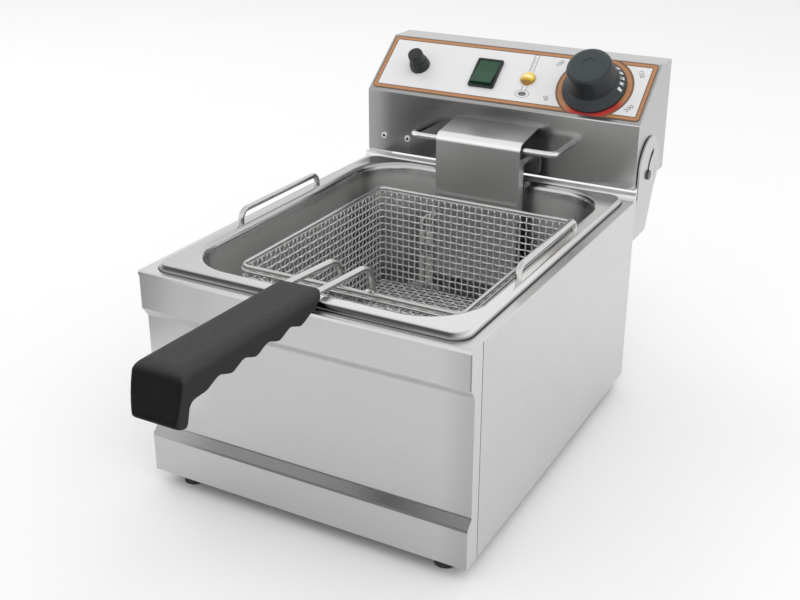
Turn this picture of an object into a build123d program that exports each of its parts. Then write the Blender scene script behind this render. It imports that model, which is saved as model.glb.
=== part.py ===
"""Countertop electric fryer: cabinet, lift-out tank, tilting control head and wire basket.

Millimetres. +X is the operator's right, +Y points back and +Z up. The origin lies on the table under
the middle of the whole object, handle included. Depths are measured back from the front panel's face,
heights up from the table.
"""
import os
from math import atan2, cos, hypot, radians, sin, tan

from build123d import *

os.makedirs("parts", exist_ok=True)

# Cabinet
cabinet_width = 280.0
cabinet_depth = 341.0
deck_height = 187.0
foot_height = 12.0
sheet = 1.2
band_top = 30.3
band_bottom = 33.6
bevel_top = 8.5
bevel_bottom = 5.6
recess_depth = 6.0
cheek_depth = 16.5
seam_gap = 0.8
upstand_height = 7.0
upstand_cove = 4.8
skirt_height = 3.4
foot_diameter = 18.0
foot_inset_x = 25.0
foot_inset_y = 17.5
base_slot_length = 60.0
base_slot_width = 5.0
base_slot_pitch = 16.0
base_slot_count = 8

# Screws and rivets
screw_diameter = 4.0
screw_head_diameter = 7.5
screw_head_height = 2.6
screw_gap = 0.1
nut_across_flats = 7.0
nut_height = 3.0
rivet_diameter = 3.2
rivet_head_diameter = 7.0
rivet_head_height = 1.2
rivet_bore = 2.6

# Tank, a drawn pan with a flat flange
tank_sheet = 1.0
tank_base_gap = 28.8
tank_draft = 1.5
tank_corner_radius = 44.0
tank_floor_radius = 24.0
tank_shoulder = 5.0
flange_corner_radius = 14.0
flange_side = 14.6
flange_front = 17.4
flange_rear = 10.0
flange_margin_side = 8.0
flange_margin_front = 5.0
flange_margin_rear = 5.0
flange_lip = 4.0
flange_roll = 4.4
cutout_gap = 0.6

# Bail handles on the tank's flange
bail_wire = 5.0
bail_span = 115.0
bail_front = 109.5
bail_rise = 11.0
bail_bend = 8.0
bail_edge = 7.5

# Control head
face_gap = 0.5
head_side_gap = 0.7
head_depth = 83.5
head_lift = 8.5
face_height = 59.7
head_rise = 103.9
top_strip = 29.1
fold_radius = 1.5
fascia_sheet = 0.6
fascia_margin_side = 2.2
fascia_margin_foot = 4.0
fascia_margin_top = 1.0
fascia_corner = 4.0
cover_tab = 10.0
cover_screw_rows = 3
cover_screw_inset = 12.0
cover_slot_length = 46.0
cover_slot_width = 3.2
cover_slot_pitch = 9.0
cover_slot_count = 7
floor_slot_count = 9

# Hinge brackets, pivot and guide pins
ear_sheet = 1.5
ear_radius = 29.0
ear_centre_back = 33.4
ear_centre_rise = 22.0
ear_foot_drop = 39.2
ear_heel_back = 35.5
ear_flange_width = 22.0
ear_flange_top = 4.0
pivot_back = 51.5
pivot_lift = 7.3
pivot_diameter = 8.0
pivot_collar = 11.0
guide_radius = 22.0
guide_diameter = 5.0
guide_collar = 9.0
guide_head = 1.5
slot_gap = 0.3
slot_slack = 2.0
head_tilt = 60.0
running_gap = 0.05
collar_height = 2.0

# Hanger bar and element guard
bar_wire = 5.5
bar_half_span = 72.0
bar_standoff = 33.5
bar_lift = 32.0
bar_bend = 8.0
bar_tail = 8.0
guard_half_width = 42.0
guard_slope = 10.0
guard_bend = 6.6
guard_above_tube = 20.0
guard_flange_depth = 10.0
guard_flange_drop = 7.5

# Heating element, a tube in one plane under the basket
tube_diameter = 8.0
tube_clear_floor = 30.0
tube_bend = 12.0
tube_inner_x = 25.0
tube_outer_x = 75.0
tube_leg_x = 30.0
tube_leg_gap = 3.2
tube_front_gap = 70.0
tube_return_gap = 26.0
tube_entry_lift = 12.5
tube_tail = 24.0
plate_width = 92.0
plate_height = 22.0
plate_sheet = 1.5
brace_width = 12.0
brace_thickness = 3.0
brace_overhang = 9.0

# Sensor bulbs and their capillary tubes
bulb_diameter = 6.0
bulb_length = 56.0
bulb_above_tube = 6.0
bulb_pitch = 8.0
bulb_side_gap = 3.2
bulb_set_forward = 0.0
capillary_diameter = 2.0
capillary_bend = 4.0
capillary_rise = 12.0
capillary_step = 6.0
capillary_gap = 3.0
capillary_entry_x = 8.0
capillary_tail = 12.0
clip_sheet = 1.0
clip_height = 9.0
clip_drop = 12.0
clip_gap = 0.1

# Controls on the sloped panel, from the panel's middle line
control_line = 35.2
knob_inset = 53.3
knob_diameter = 59.5
knob_grip_foot = 45.4
knob_grip_top = 41.0
knob_height = 33.0
knob_skirt_edge = 2.0
knob_skirt = 9.0
knob_flare = 1.5
knob_crown = 6.5
knob_gap = 0.8
knob_cap_diameter = 13.0
knob_cap_sink = 0.5
shaft_diameter = 6.0
shaft_reach = 21.0
bush_diameter = 10.0
thermostat_size = 40.0
thermostat_depth = 25.0
lamp_x = 19.2
lamp_diameter = 14.4
lamp_rise = 5.2
lamp_rim = 1.6
lamp_neck = 11.0
lamp_depth = 22.0
switch_x = -24.0
bezel_width = 26.2
bezel_height = 33.0
bezel_lift = 2.5
bezel_wall = 2.1
switch_wall = 1.2
switch_depth = 24.0
well_depth = 13.0
rocker_gap = 0.5
rocker_pin = 3.0
rocker_axis_lift = 0.8
rocker_crown = 3.6
rocker_dip = 1.0
rocker_foot = 6.0
rocker_tilt = 7.0
reset_inset = 42.8
neck_diameter = 9.0
neck_reach = 8.0
reset_pin = 4.0
reset_reach = 9.5
reset_travel = 2.5
cap_flange_diameter = 20.0
cap_flange_edge = 1.6
cap_flange_height = 8.2
cap_flange_top = 18.0
cap_foot_diameter = 15.4
cap_top_diameter = 14.4
cap_height = 18.6
cap_wall_gap = 0.1
cap_flutes = 12
limiter_width = 34.0
limiter_height = 26.0
limiter_depth = 22.0
hole_gap = 0.1

# Fittings inside and behind the head
bracket_inset = 9.8
bracket_width = 42.0
bracket_foot_lift = 8.0
bracket_rise = 17.0
bracket_reach = 29.0
rivet_pitch = 26.0
rivet_lift = 7.5
block_length = 38.0
block_depth = 18.0
block_height = 16.0
block_ways = 3
gland_inset = 37.8
gland_lift = 19.5
gland_flats = 22.0
gland_hex = 6.0
gland_length = 18.0
gland_thread = 16.0
gland_bore = 8.0
gland_nut = 4.0

# Basket
basket_gap_front = 48.1
basket_gap_rear = 31.5
basket_gap_side = 19.6
basket_drop = 18.0
basket_corner = 7.0
basket_rest_gap = 0.3
rim_wire = 3.4
lower_wire = 2.2
lower_wire_drop = 3.4
mesh_sheet = 1.6
mesh_pitch = 19.0
mesh_strand = 3.2
mesh_margin = 4.0

# Basket handle
handle_wire_diameter = 5.5
handle_half_span = 14.0
prong_lift = 5.5
prong_reach_inside = 15.5
prong_fall = 6.0
prong_ease = 30.0
prong_bend_gap = 4.0
prong_arc = 18.0
prong_return_bend = 3.9
hinge_inset = 7.5
hinge_rim_gap = 0.2
hinge_wall = 1.5
hinge_half_width = 6.5
finger_length = 10.5
finger_width = 5.0
finger_gap = 0.3
leaf_half_width = 18.0
leaf_depth = 12.0
grip_reach_back = 3.5
grip_length = 155.5
grip_width = 41.0
grip_over_inner = 5.0
grip_over_outer = 8.5
grip_under = 13.6
grip_end_lean = 9.0
grip_drop_under = 29.5
grip_drop_thickness = 9.0
grip_heel = 142.5
scallop_count = 5
scallop_pitch = 26.0
scallop_depth = 5.4
scallop_radius = 9.0
scallop_start = 10.0
grip_corner = 5.0
grip_top_corner = 8.0
grip_drop_corner = 4.0
grip_drop_inner = 3.5
grip_edge = 9.0
grip_end_edge = 8.0
prong_embed = 45.0

# Places worked out from the sizes above
half_width = cabinet_width / 2
deck_under = deck_height - sheet
inner_half = half_width - sheet
rim_height = deck_height + tank_sheet + flange_lip
flange_width = cabinet_width - 2 * flange_margin_side
flange_length = cabinet_depth - flange_margin_front - flange_margin_rear
opening_width = flange_width - 2 * flange_side
opening_length = flange_length - flange_front - flange_rear
opening_front = flange_margin_front + flange_front
opening_rear = opening_front + opening_length
tank_middle = opening_front + opening_length / 2
tank_depth = rim_height - foot_height - sheet - tank_base_gap
tank_floor = rim_height - tank_depth + tank_sheet
face_depth = cabinet_depth + face_gap
head_rear = face_depth + head_depth
head_half = half_width - ear_sheet - head_side_gap
head_bottom = deck_height + head_lift
head_height = head_bottom + head_rise
slope_foot = head_bottom + face_height
slope_run = head_depth - top_strip
slope_rise = head_height - slope_foot
slope_angle = atan2(slope_rise, slope_run)
slope_length = hypot(slope_run, slope_rise)
ear_centre_height = deck_height + ear_centre_rise
ear_foot_height = deck_height - ear_foot_drop
pivot_depth = face_depth + pivot_back
pivot_height = head_bottom + pivot_lift
bar_height = head_bottom + bar_lift
tube_height = tank_floor + tube_clear_floor
tube_entry_height = head_bottom + tube_entry_lift
guard_bottom = tube_height + guard_above_tube
guard_flange_top = bar_height - guard_flange_drop
bulb_bottom = tube_height + bulb_above_tube
basket_floor = tube_height + tube_diameter / 2 + basket_rest_gap
basket_rim = rim_height - basket_drop
basket_front = opening_front + basket_gap_front
basket_rear = opening_rear - basket_gap_rear
basket_half = opening_width / 2 - basket_gap_side
basket_middle = (basket_front + basket_rear) / 2
hinge_depth = basket_front + hinge_inset
leaf_top = basket_rim - rim_wire / 2 - hinge_rim_gap
hinge_height = leaf_top - hinge_wall - finger_gap - handle_wire_diameter / 2
prong_height = rim_height + prong_lift
grip_start = grip_reach_back
grip_end = grip_start - grip_length
gland_end = head_rear + sheet + gland_length
middle = (grip_end + gland_end) / 2
past = 1.0


def y_at(depth):
    """Y of a point that lies depth behind the front panel's face."""
    return depth - middle


def section(points):
    """Depth and height pairs as points of a section seen along X."""
    return [(y_at(depth), height) for depth, height in points]


def route(points):
    """X, depth and height triples as points in space."""
    return [(x, y_at(depth), height) for x, depth, height in points]


def bent_wire(points, radii, diameter):
    """Round wire along straight runs joined by arcs."""
    with BuildPart(mode=Mode.PRIVATE) as wire:
        with BuildLine() as line:
            FilletPolyline(*points, radius=radii)
        with BuildSketch(Plane(origin=line.wire() @ 0, z_dir=line.wire() % 0)):
            Circle(diameter / 2)
        sweep()
    return wire.part


def save(piece, name):
    """Labels a finished piece and writes it under its name."""
    piece.part.label = name
    export_step(piece.part, f"parts/{name}.step")


sides = (("left", -1), ("right", 1))

# Front panel: plain bands above and below a set-back middle, closed by a cheek at each end
face_line = [
    (0, deck_under),
    (0, deck_under - band_top),
    (recess_depth, deck_under - band_top - bevel_top),
    (recess_depth, foot_height + band_bottom + bevel_bottom),
    (0, foot_height + band_bottom),
    (0, foot_height),
]
inner_line = [(depth + sheet, height) for depth, height in face_line]
inner_line[0] = (sheet, deck_under + past)
inner_line[-1] = (sheet, foot_height - past)
cheek_back = cheek_depth + past
with BuildPart() as front_panel:
    with BuildSketch(Plane.YZ):
        corners = face_line + [(cheek_depth, foot_height), (cheek_depth, deck_under)]
        Polygon(*section(corners), align=None)
    extrude(amount=half_width, both=True)
    with BuildSketch(Plane.YZ):
        corners = inner_line + [(cheek_back, foot_height - past), (cheek_back, deck_under + past)]
        Polygon(*section(corners), align=None)
    extrude(amount=inner_half, both=True, mode=Mode.SUBTRACT)
save(front_panel, "front_panel")

# Side panels, set off from the front panel's cheeks by a narrow seam
side_front = cheek_depth + seam_gap
for side, sign in sides:
    with BuildPart() as side_panel:
        with BuildSketch(Plane.YZ.offset(sign * half_width)):
            with Locations((y_at((side_front + cabinet_depth) / 2), (foot_height + deck_under) / 2)):
                Rectangle(cabinet_depth - side_front, deck_under - foot_height)
        extrude(amount=-sign * sheet)
    save(side_panel, f"{side}_side_panel")

# Screw places shared by the rear panel and the hinge brackets
ear_screw_x = half_width - ear_flange_width / 2
ear_flange_height = deck_height - ear_flange_top - ear_foot_height
ear_screw_heights = [ear_foot_height + ear_flange_height * share for share in (0.25, 0.75)]
ear_screws = [(sign * ear_screw_x, height) for _, sign in sides for height in ear_screw_heights]

# Rear panel between the side panels
with BuildPart() as rear_panel:
    with BuildSketch(Plane.XZ.offset(-y_at(cabinet_depth))):
        with Locations((0, (foot_height + deck_under) / 2)):
            Rectangle(2 * inner_half, deck_under - foot_height)
        with Locations(*ear_screws):
            Circle(screw_diameter / 2 + screw_gap, mode=Mode.SUBTRACT)
    extrude(amount=sheet)
save(rear_panel, "rear_panel")

# Deck with the tank's cut-out, a folded skirt in front and a coved upstand along its rear edge
cutout_grow = 2 * (tank_sheet + tank_shoulder + cutout_gap)
with BuildPart() as deck:
    with BuildSketch(Plane.XY.offset(deck_under)):
        with Locations((0, y_at(cabinet_depth / 2))):
            Rectangle(cabinet_width, cabinet_depth)
        with Locations((0, y_at(tank_middle))):
            RectangleRounded(
                opening_width + cutout_grow,
                opening_length + cutout_grow,
                tank_corner_radius + cutout_grow / 2,
                mode=Mode.SUBTRACT,
            )
    extrude(amount=sheet)
    with BuildSketch(Plane.XY.offset(deck_height)):
        with Locations((0, y_at(cabinet_depth - sheet / 2))):
            Rectangle(cabinet_width, sheet)
    extrude(amount=upstand_height)
    upstand_foot = deck.edges().filter_by(Axis.X).sort_by_distance((0, y_at(cabinet_depth - sheet), deck_height))[0]
    fillet(upstand_foot, radius=upstand_cove)
    with BuildSketch(Plane.XZ.offset(-y_at(0))):
        with Locations((0, deck_height - skirt_height / 2)):
            Rectangle(cabinet_width, skirt_height)
    extrude(amount=sheet)
    skirt_fold = deck.edges().filter_by(Axis.X).sort_by_distance((0, y_at(-sheet), deck_height))[0]
    fillet(skirt_fold, radius=sheet)
save(deck, "deck")

# Base plate with vent slots and the foot screws' holes
base_front = sheet
base_rear = cabinet_depth - sheet
base_middle = y_at((base_front + base_rear) / 2)
foot_x = half_width - foot_inset_x
foot_span_y = cabinet_depth - 2 * foot_inset_y
with BuildPart() as base_plate:
    with BuildSketch(Plane.XY.offset(foot_height)):
        with Locations((0, base_middle)):
            Rectangle(2 * inner_half, base_rear - base_front)
            with GridLocations(base_slot_pitch, 0, base_slot_count, 1):
                SlotOverall(base_slot_length, base_slot_width, rotation=90, mode=Mode.SUBTRACT)
        with Locations((0, y_at(cabinet_depth / 2))):
            with GridLocations(2 * foot_x, foot_span_y, 2, 2):
                Circle(screw_diameter / 2 + screw_gap, mode=Mode.SUBTRACT)
    extrude(amount=sheet)
save(base_plate, "base_plate")

# Rubber feet, hollowed from below for the screw's head
foot_recess = screw_head_height + 1.4
feet_middle = (0, y_at(cabinet_depth / 2))
with BuildPart() as rubber_feet:
    with Locations(feet_middle):
        with GridLocations(2 * foot_x, foot_span_y, 2, 2):
            Cone(
                foot_diameter / 2,
                foot_diameter / 2 - 1,
                foot_height,
                align=(Align.CENTER, Align.CENTER, Align.MIN),
            )
            Cylinder(
                screw_head_diameter / 2 + 1,
                foot_recess,
                align=(Align.CENTER, Align.CENTER, Align.MIN),
                mode=Mode.SUBTRACT,
            )
            Cylinder(
                screw_diameter / 2 + screw_gap,
                foot_height,
                align=(Align.CENTER, Align.CENTER, Align.MIN),
                mode=Mode.SUBTRACT,
            )
save(rubber_feet, "rubber_feet")

# Foot screws, head down in the feet, and their nuts above the base plate
foot_nut_height = foot_height + sheet
foot_screw_length = foot_nut_height + nut_height + 1 - foot_recess
with BuildPart() as foot_screws:
    with BuildSketch(Plane.XY.offset(foot_recess - screw_head_height)):
        with Locations(feet_middle):
            with GridLocations(2 * foot_x, foot_span_y, 2, 2):
                Circle(screw_head_diameter / 2)
    extrude(amount=screw_head_height)
    with BuildSketch(Plane.XY.offset(foot_recess)):
        with Locations(feet_middle):
            with GridLocations(2 * foot_x, foot_span_y, 2, 2):
                Circle(screw_diameter / 2)
    extrude(amount=foot_screw_length)
save(foot_screws, "foot_screws")

with BuildPart() as foot_nuts:
    with BuildSketch(Plane.XY.offset(foot_nut_height)):
        with Locations(feet_middle):
            with GridLocations(2 * foot_x, foot_span_y, 2, 2):
                RegularPolygon(nut_across_flats / 2, 6, major_radius=False)
                Circle(screw_diameter / 2 + screw_gap, mode=Mode.SUBTRACT)
    extrude(amount=nut_height)
save(foot_nuts, "foot_nuts")

# Tank: the hollow first, then the drawn pan around it
tank_place = Plane((0, y_at(tank_middle), rim_height), x_dir=(1, 0, 0), z_dir=(0, 0, -1))
with BuildPart() as tank_hollow:
    with BuildSketch(tank_place):
        RectangleRounded(opening_width, opening_length, tank_corner_radius)
    extrude(amount=tank_depth - tank_sheet, taper=tank_draft)
    fillet(tank_hollow.faces().sort_by(Axis.Z)[0].edges(), radius=tank_floor_radius)

flange_place = (0, y_at(flange_margin_front + flange_length / 2))
with BuildPart() as tank:
    with BuildSketch(tank_place):
        RectangleRounded(
            opening_width + 2 * tank_sheet,
            opening_length + 2 * tank_sheet,
            tank_corner_radius + tank_sheet,
        )
    extrude(amount=tank_depth, taper=tank_draft)
    fillet(tank.faces().sort_by(Axis.Z)[0].edges(), radius=tank_floor_radius + tank_sheet)
    with BuildSketch(Plane.XY.offset(rim_height - tank_sheet)):
        with Locations(flange_place):
            RectangleRounded(flange_width, flange_length, flange_corner_radius)
    extrude(amount=tank_sheet)
    underside = tank.faces().filter_by(Axis.Z).sort_by(Axis.Z)[-2]
    fillet(underside.inner_wires()[0].edges(), radius=tank_shoulder)
    with BuildSketch(Plane.XY.offset(deck_height)):
        with Locations(flange_place):
            RectangleRounded(flange_width, flange_length, flange_corner_radius)
            RectangleRounded(
                flange_width - 2 * tank_sheet,
                flange_length - 2 * tank_sheet,
                flange_corner_radius - tank_sheet,
                mode=Mode.SUBTRACT,
            )
    extrude(amount=flange_lip)
    underside = tank.faces().filter_by(Axis.Z).sort_by(Axis.Z)[-2]
    fillet(underside.outer_wire().edges(), radius=flange_roll - tank_sheet)
    add(tank_hollow.part, mode=Mode.SUBTRACT)
    flange_top = tank.faces().sort_by(Axis.Z)[-1]
    fillet(flange_top.inner_wires()[0].edges(), radius=tank_shoulder + tank_sheet)
    flange_top = tank.faces().sort_by(Axis.Z)[-1]
    fillet(flange_top.outer_wire().edges(), radius=flange_roll)
save(tank, "tank")

# Wire bail handles standing on the flange
bail_x = flange_width / 2 - bail_edge
bail_rear = bail_front + bail_span
bail_top = rim_height + bail_rise
for side, sign in sides:
    with BuildPart() as bail:
        add(
            bent_wire(
                route(
                    [
                        (sign * bail_x, bail_front, rim_height),
                        (sign * bail_x, bail_front, bail_top),
                        (sign * bail_x, bail_rear, bail_top),
                        (sign * bail_x, bail_rear, rim_height),
                    ]
                ),
                bail_bend,
                bail_wire,
            )
        )
    save(bail, f"{side}_tank_handle")

# Hinge brackets: round ears on a stem, with the pivot's hole and the guide pin's arc slot
ear_depth = face_depth + ear_centre_back
ear_front = ear_depth - ear_radius
ear_outline = [
    (cabinet_depth, ear_foot_height),
    (cabinet_depth + ear_heel_back, ear_foot_height),
    (ear_depth + ear_radius, ear_centre_height),
    (ear_front, ear_centre_height),
    (ear_front, deck_height + face_gap),
    (cabinet_depth, deck_height - ear_flange_top),
]
pivot_place = (y_at(pivot_depth), pivot_height)
for side, sign in sides:
    with BuildPart() as hinge_bracket:
        with BuildSketch(Plane.YZ.offset(sign * half_width)):
            Polygon(*section(ear_outline), align=None)
            with Locations((y_at(ear_depth), ear_centre_height)):
                Circle(ear_radius)
            with Locations(pivot_place):
                Circle(pivot_diameter / 2 + running_gap, mode=Mode.SUBTRACT)
            with BuildLine(mode=Mode.PRIVATE) as slot_line:
                slot_sweep = head_tilt + 2 * slot_slack
                CenterArc(pivot_place, guide_radius, 180 + slot_slack - slot_sweep, slot_sweep)
            SlotArc(slot_line.edge(), guide_diameter + 2 * slot_gap, mode=Mode.SUBTRACT)
        extrude(amount=-sign * ear_sheet)
        with BuildSketch(Plane.XZ.offset(-y_at(cabinet_depth + ear_sheet))):
            with Locations((sign * ear_screw_x, ear_foot_height + ear_flange_height / 2)):
                Rectangle(ear_flange_width, ear_flange_height)
            with Locations(*[(sign * ear_screw_x, height) for height in ear_screw_heights]):
                Circle(screw_diameter / 2 + screw_gap, mode=Mode.SUBTRACT)
        extrude(amount=ear_sheet)
    save(hinge_bracket, f"{side}_hinge_bracket")

# Screws that hold the brackets to the rear panel
with BuildPart() as bracket_screws:
    with BuildSketch(Plane.XZ.offset(-y_at(cabinet_depth + ear_sheet))):
        with Locations(*ear_screws):
            Circle(screw_head_diameter / 2)
    extrude(amount=-screw_head_height)
    with BuildSketch(Plane.XZ.offset(-y_at(cabinet_depth + ear_sheet))):
        with Locations(*ear_screws):
            Circle(screw_diameter / 2)
    extrude(amount=ear_sheet + sheet + nut_height)
save(bracket_screws, "bracket_screws")

# The sloped panel's plane: x across, y up the slope, z out of the panel
panel = Plane(
    origin=(0, y_at(face_depth), slope_foot),
    x_dir=(1, 0, 0),
    z_dir=(0, -sin(slope_angle), cos(slope_angle)),
)
knob_x = head_half - knob_inset
reset_x = reset_inset - head_half


def control_section(x):
    """Plane through a control's axis: x across the panel, y out of it."""
    return Plane(
        origin=panel.from_local_coords((x, control_line, 0)),
        x_dir=panel.x_dir,
        z_dir=-panel.y_dir,
    )


def control_axis(x):
    """Axis of a control that stands on the sloped panel."""
    return Axis(panel.from_local_coords((x, control_line, 0)), panel.z_dir)


well_width = bezel_width - 2 * bezel_wall
well_height = bezel_height - 2 * bezel_wall
switch_width = well_width + 2 * switch_wall
switch_height = well_height + 2 * switch_wall
with BuildSketch(panel) as control_holes:
    with Locations((knob_x, control_line)):
        Circle(bush_diameter / 2 + hole_gap)
    with Locations((lamp_x, control_line)):
        Circle(lamp_neck / 2 + hole_gap)
    with Locations((switch_x, control_line)):
        Rectangle(switch_width + 2 * hole_gap, switch_height + 2 * hole_gap)
    with Locations((reset_x, control_line)):
        Circle(neck_diameter / 2 + hole_gap)

# Openings in the head's face
rivet_height = head_bottom + bracket_foot_lift + rivet_lift
bracket_x = bracket_inset + bracket_width / 2 - head_half
rivet_places = [(bracket_x + step * rivet_pitch / 2, rivet_height) for step in (-1, 1)]
capillary_places = [(-capillary_entry_x, tube_entry_height), (-2 * capillary_entry_x, tube_entry_height)]
tube_places = [(sign * tube_leg_x, tube_entry_height) for _, sign in sides]
bar_places = [(sign * bar_half_span, bar_height) for _, sign in sides]

# Head shell: face, slope, top and sides of one folded sheet, open behind and below
head_profile = [
    (face_depth, head_bottom),
    (face_depth, slope_foot),
    (face_depth + slope_run, head_height),
    (head_rear, head_height),
    (head_rear, head_bottom),
]
cover_tab_height = head_height - head_bottom - 2 * (sheet + past)
cover_screw_x = head_half - sheet - cover_tab / 2
cover_screw_step = (cover_tab_height - 2 * cover_screw_inset) / (cover_screw_rows - 1)
head_middle_height = (head_bottom + head_height) / 2
slope_drop = sheet / cos(slope_angle)
inside_top = head_height - sheet
head_hollow = [
    (face_depth + sheet, head_bottom - past),
    (face_depth + sheet, slope_foot + sheet * tan(slope_angle) - slope_drop),
    (face_depth + (inside_top - slope_foot + slope_drop) / tan(slope_angle), inside_top),
    (head_rear + past, inside_top),
    (head_rear + past, head_bottom - past),
]
with BuildPart() as head_shell:
    with BuildSketch(Plane.YZ):
        Polygon(*section(head_profile), align=None)
    extrude(amount=head_half, both=True)
    fold_edges = head_shell.edges().filter_by(Axis.X).sort_by(Axis.Y)
    fillet(fold_edges[1:3], radius=fold_radius)
    with BuildSketch(Plane.YZ):
        Polygon(*section(head_hollow), align=None)
    extrude(amount=head_half - sheet, both=True, mode=Mode.SUBTRACT)
    with BuildSketch(Plane.XZ.offset(-y_at(head_rear))):
        with Locations((0, head_middle_height)):
            with GridLocations(2 * cover_screw_x, 0, 2, 1):
                Rectangle(cover_tab, cover_tab_height)
            with GridLocations(2 * cover_screw_x, cover_screw_step, 2, cover_screw_rows):
                Circle(screw_diameter / 2 + screw_gap, mode=Mode.SUBTRACT)
    extrude(amount=sheet)
    extrude(control_holes.sketch, amount=2 * sheet, both=True, mode=Mode.SUBTRACT)
    with BuildSketch(Plane.XZ.offset(-y_at(face_depth))):
        with Locations(*rivet_places):
            Circle(rivet_diameter / 2 + screw_gap)
        with Locations(*capillary_places):
            Circle(capillary_diameter / 2 + hole_gap)
        with Locations(*tube_places):
            Circle(tube_diameter / 2 + hole_gap)
        with Locations(*bar_places):
            Circle(bar_wire / 2 + hole_gap)
    extrude(amount=2 * sheet, both=True, mode=Mode.SUBTRACT)
    with BuildSketch(Plane.YZ):
        with Locations(pivot_place):
            Circle(pivot_diameter / 2 + running_gap)
        with Locations((y_at(pivot_depth - guide_radius), pivot_height)):
            Circle(guide_diameter / 2 + running_gap)
    extrude(amount=half_width, both=True, mode=Mode.SUBTRACT)
save(head_shell, "head_shell")

# Floor of the head, with vent slots
head_floor_depth = head_depth - sheet
with BuildPart() as head_floor:
    with BuildSketch(Plane.XY.offset(head_bottom)):
        with Locations((0, y_at(face_depth + sheet + head_floor_depth / 2))):
            Rectangle(2 * (head_half - sheet), head_floor_depth)
            with GridLocations(base_slot_pitch, 0, floor_slot_count, 1):
                SlotOverall(cover_slot_length, base_slot_width, rotation=90, mode=Mode.SUBTRACT)
    extrude(amount=sheet)
save(head_floor, "head_floor")

# Back cover with vent slots, the gland's hole and its screws
gland_place = (gland_inset - head_half, head_bottom + gland_lift)
with BuildPart() as head_back_cover:
    with BuildSketch(Plane.XZ.offset(-y_at(head_rear))):
        with Locations((0, head_middle_height)):
            Rectangle(2 * head_half, head_height - head_bottom)
            with GridLocations(0, cover_slot_pitch, 1, cover_slot_count):
                SlotOverall(cover_slot_length, cover_slot_width, mode=Mode.SUBTRACT)
            with GridLocations(2 * cover_screw_x, cover_screw_step, 2, cover_screw_rows):
                Circle(screw_diameter / 2 + screw_gap, mode=Mode.SUBTRACT)
        with Locations(gland_place):
            Circle(gland_thread / 2 + hole_gap, mode=Mode.SUBTRACT)
    extrude(amount=-sheet)
save(head_back_cover, "head_back_cover")

with BuildPart() as cover_screws:
    with BuildSketch(Plane.XZ.offset(-y_at(head_rear + sheet))):
        with Locations((0, head_middle_height)):
            with GridLocations(2 * cover_screw_x, cover_screw_step, 2, cover_screw_rows):
                Circle(screw_head_diameter / 2)
    extrude(amount=-screw_head_height)
    with BuildSketch(Plane.XZ.offset(-y_at(head_rear + sheet))):
        with Locations((0, head_middle_height)):
            with GridLocations(2 * cover_screw_x, cover_screw_step, 2, cover_screw_rows):
                Circle(screw_diameter / 2)
    extrude(amount=2 * sheet + nut_height)
save(cover_screws, "cover_screws")

# Printed fascia on the sloped panel
fascia_width = 2 * (head_half - fascia_margin_side)
fascia_height = slope_length - fascia_margin_foot - fascia_margin_top
with BuildPart() as control_fascia:
    with BuildSketch(panel):
        with Locations((0, fascia_margin_foot + fascia_height / 2)):
            RectangleRounded(fascia_width, fascia_height, fascia_corner)
    extrude(amount=fascia_sheet)
    extrude(control_holes.sketch, amount=2 * fascia_sheet, both=True, mode=Mode.SUBTRACT)
save(control_fascia, "control_fascia")

# Pivot pins: collar inside the head, shank flush with the ear's outer face
pin_collar_x = head_half - sheet - collar_height
with BuildPart() as pivot_pins:
    for _, sign in sides:
        with BuildSketch(Plane.YZ.offset(sign * pin_collar_x)):
            with Locations(pivot_place):
                Circle(pivot_collar / 2)
        extrude(amount=sign * collar_height)
        with BuildSketch(Plane.YZ.offset(sign * pin_collar_x)):
            with Locations(pivot_place):
                Circle(pivot_diameter / 2)
        extrude(amount=sign * (half_width - pin_collar_x))
save(pivot_pins, "pivot_pins")

# Guide pins: through the arc slots, with a flat head outside the ear
guide_place = (y_at(pivot_depth - guide_radius), pivot_height)
guide_head_x = half_width + slot_gap
with BuildPart() as guide_pins:
    for _, sign in sides:
        with BuildSketch(Plane.YZ.offset(sign * pin_collar_x)):
            with Locations(guide_place):
                Circle(guide_collar / 2)
        extrude(amount=sign * collar_height)
        with BuildSketch(Plane.YZ.offset(sign * pin_collar_x)):
            with Locations(guide_place):
                Circle(guide_diameter / 2)
        extrude(amount=sign * (guide_head_x - pin_collar_x))
        with BuildSketch(Plane.YZ.offset(sign * guide_head_x)):
            with Locations(guide_place):
                Circle(guide_collar / 2)
        extrude(amount=sign * guide_head)
save(guide_pins, "guide_pins")

# Hanger bar in front of the face
bar_depth = face_depth - bar_standoff
bar_end = face_depth + bar_tail
with BuildPart() as hanger_bar:
    add(
        bent_wire(
            route(
                [
                    (-bar_half_span, bar_end, bar_height),
                    (-bar_half_span, bar_depth, bar_height),
                    (bar_half_span, bar_depth, bar_height),
                    (bar_half_span, bar_end, bar_height),
                ]
            ),
            bar_bend,
            bar_wire,
        )
    )
save(hanger_bar, "hanger_bar")

# Element guard: slopes down from the face, wraps over the bar and hangs into the tank
guard_depth = bar_depth - guard_bend
guard_corner = bar_height + guard_bend / tan(radians(45 + guard_slope / 2))
guard_rear = guard_corner + (face_depth - guard_depth) * tan(radians(guard_slope))
guard_line = [(face_depth, guard_rear), (guard_depth, guard_corner), (guard_depth, guard_bottom)]
guard_flange_x = guard_half_width - sheet / 2
guard_flange_height = guard_flange_top - guard_bottom
with BuildPart() as element_guard:
    with BuildSketch(Plane.YZ):
        with BuildLine():
            FilletPolyline(
                *section(guard_line),
                radius=guard_bend,
            )
        trace(line_width=sheet)
    extrude(amount=guard_half_width, both=True)
    with BuildSketch(Plane.XZ.offset(-y_at(guard_depth))):
        with Locations((0, guard_bottom + guard_flange_height / 2)):
            with GridLocations(2 * guard_flange_x, 0, 2, 1):
                Rectangle(sheet, guard_flange_height)
    extrude(amount=-guard_flange_depth)
    split(bisect_by=Plane.XZ.offset(-y_at(face_depth)), keep=Keep.TOP)
save(element_guard, "element_guard")

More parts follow.
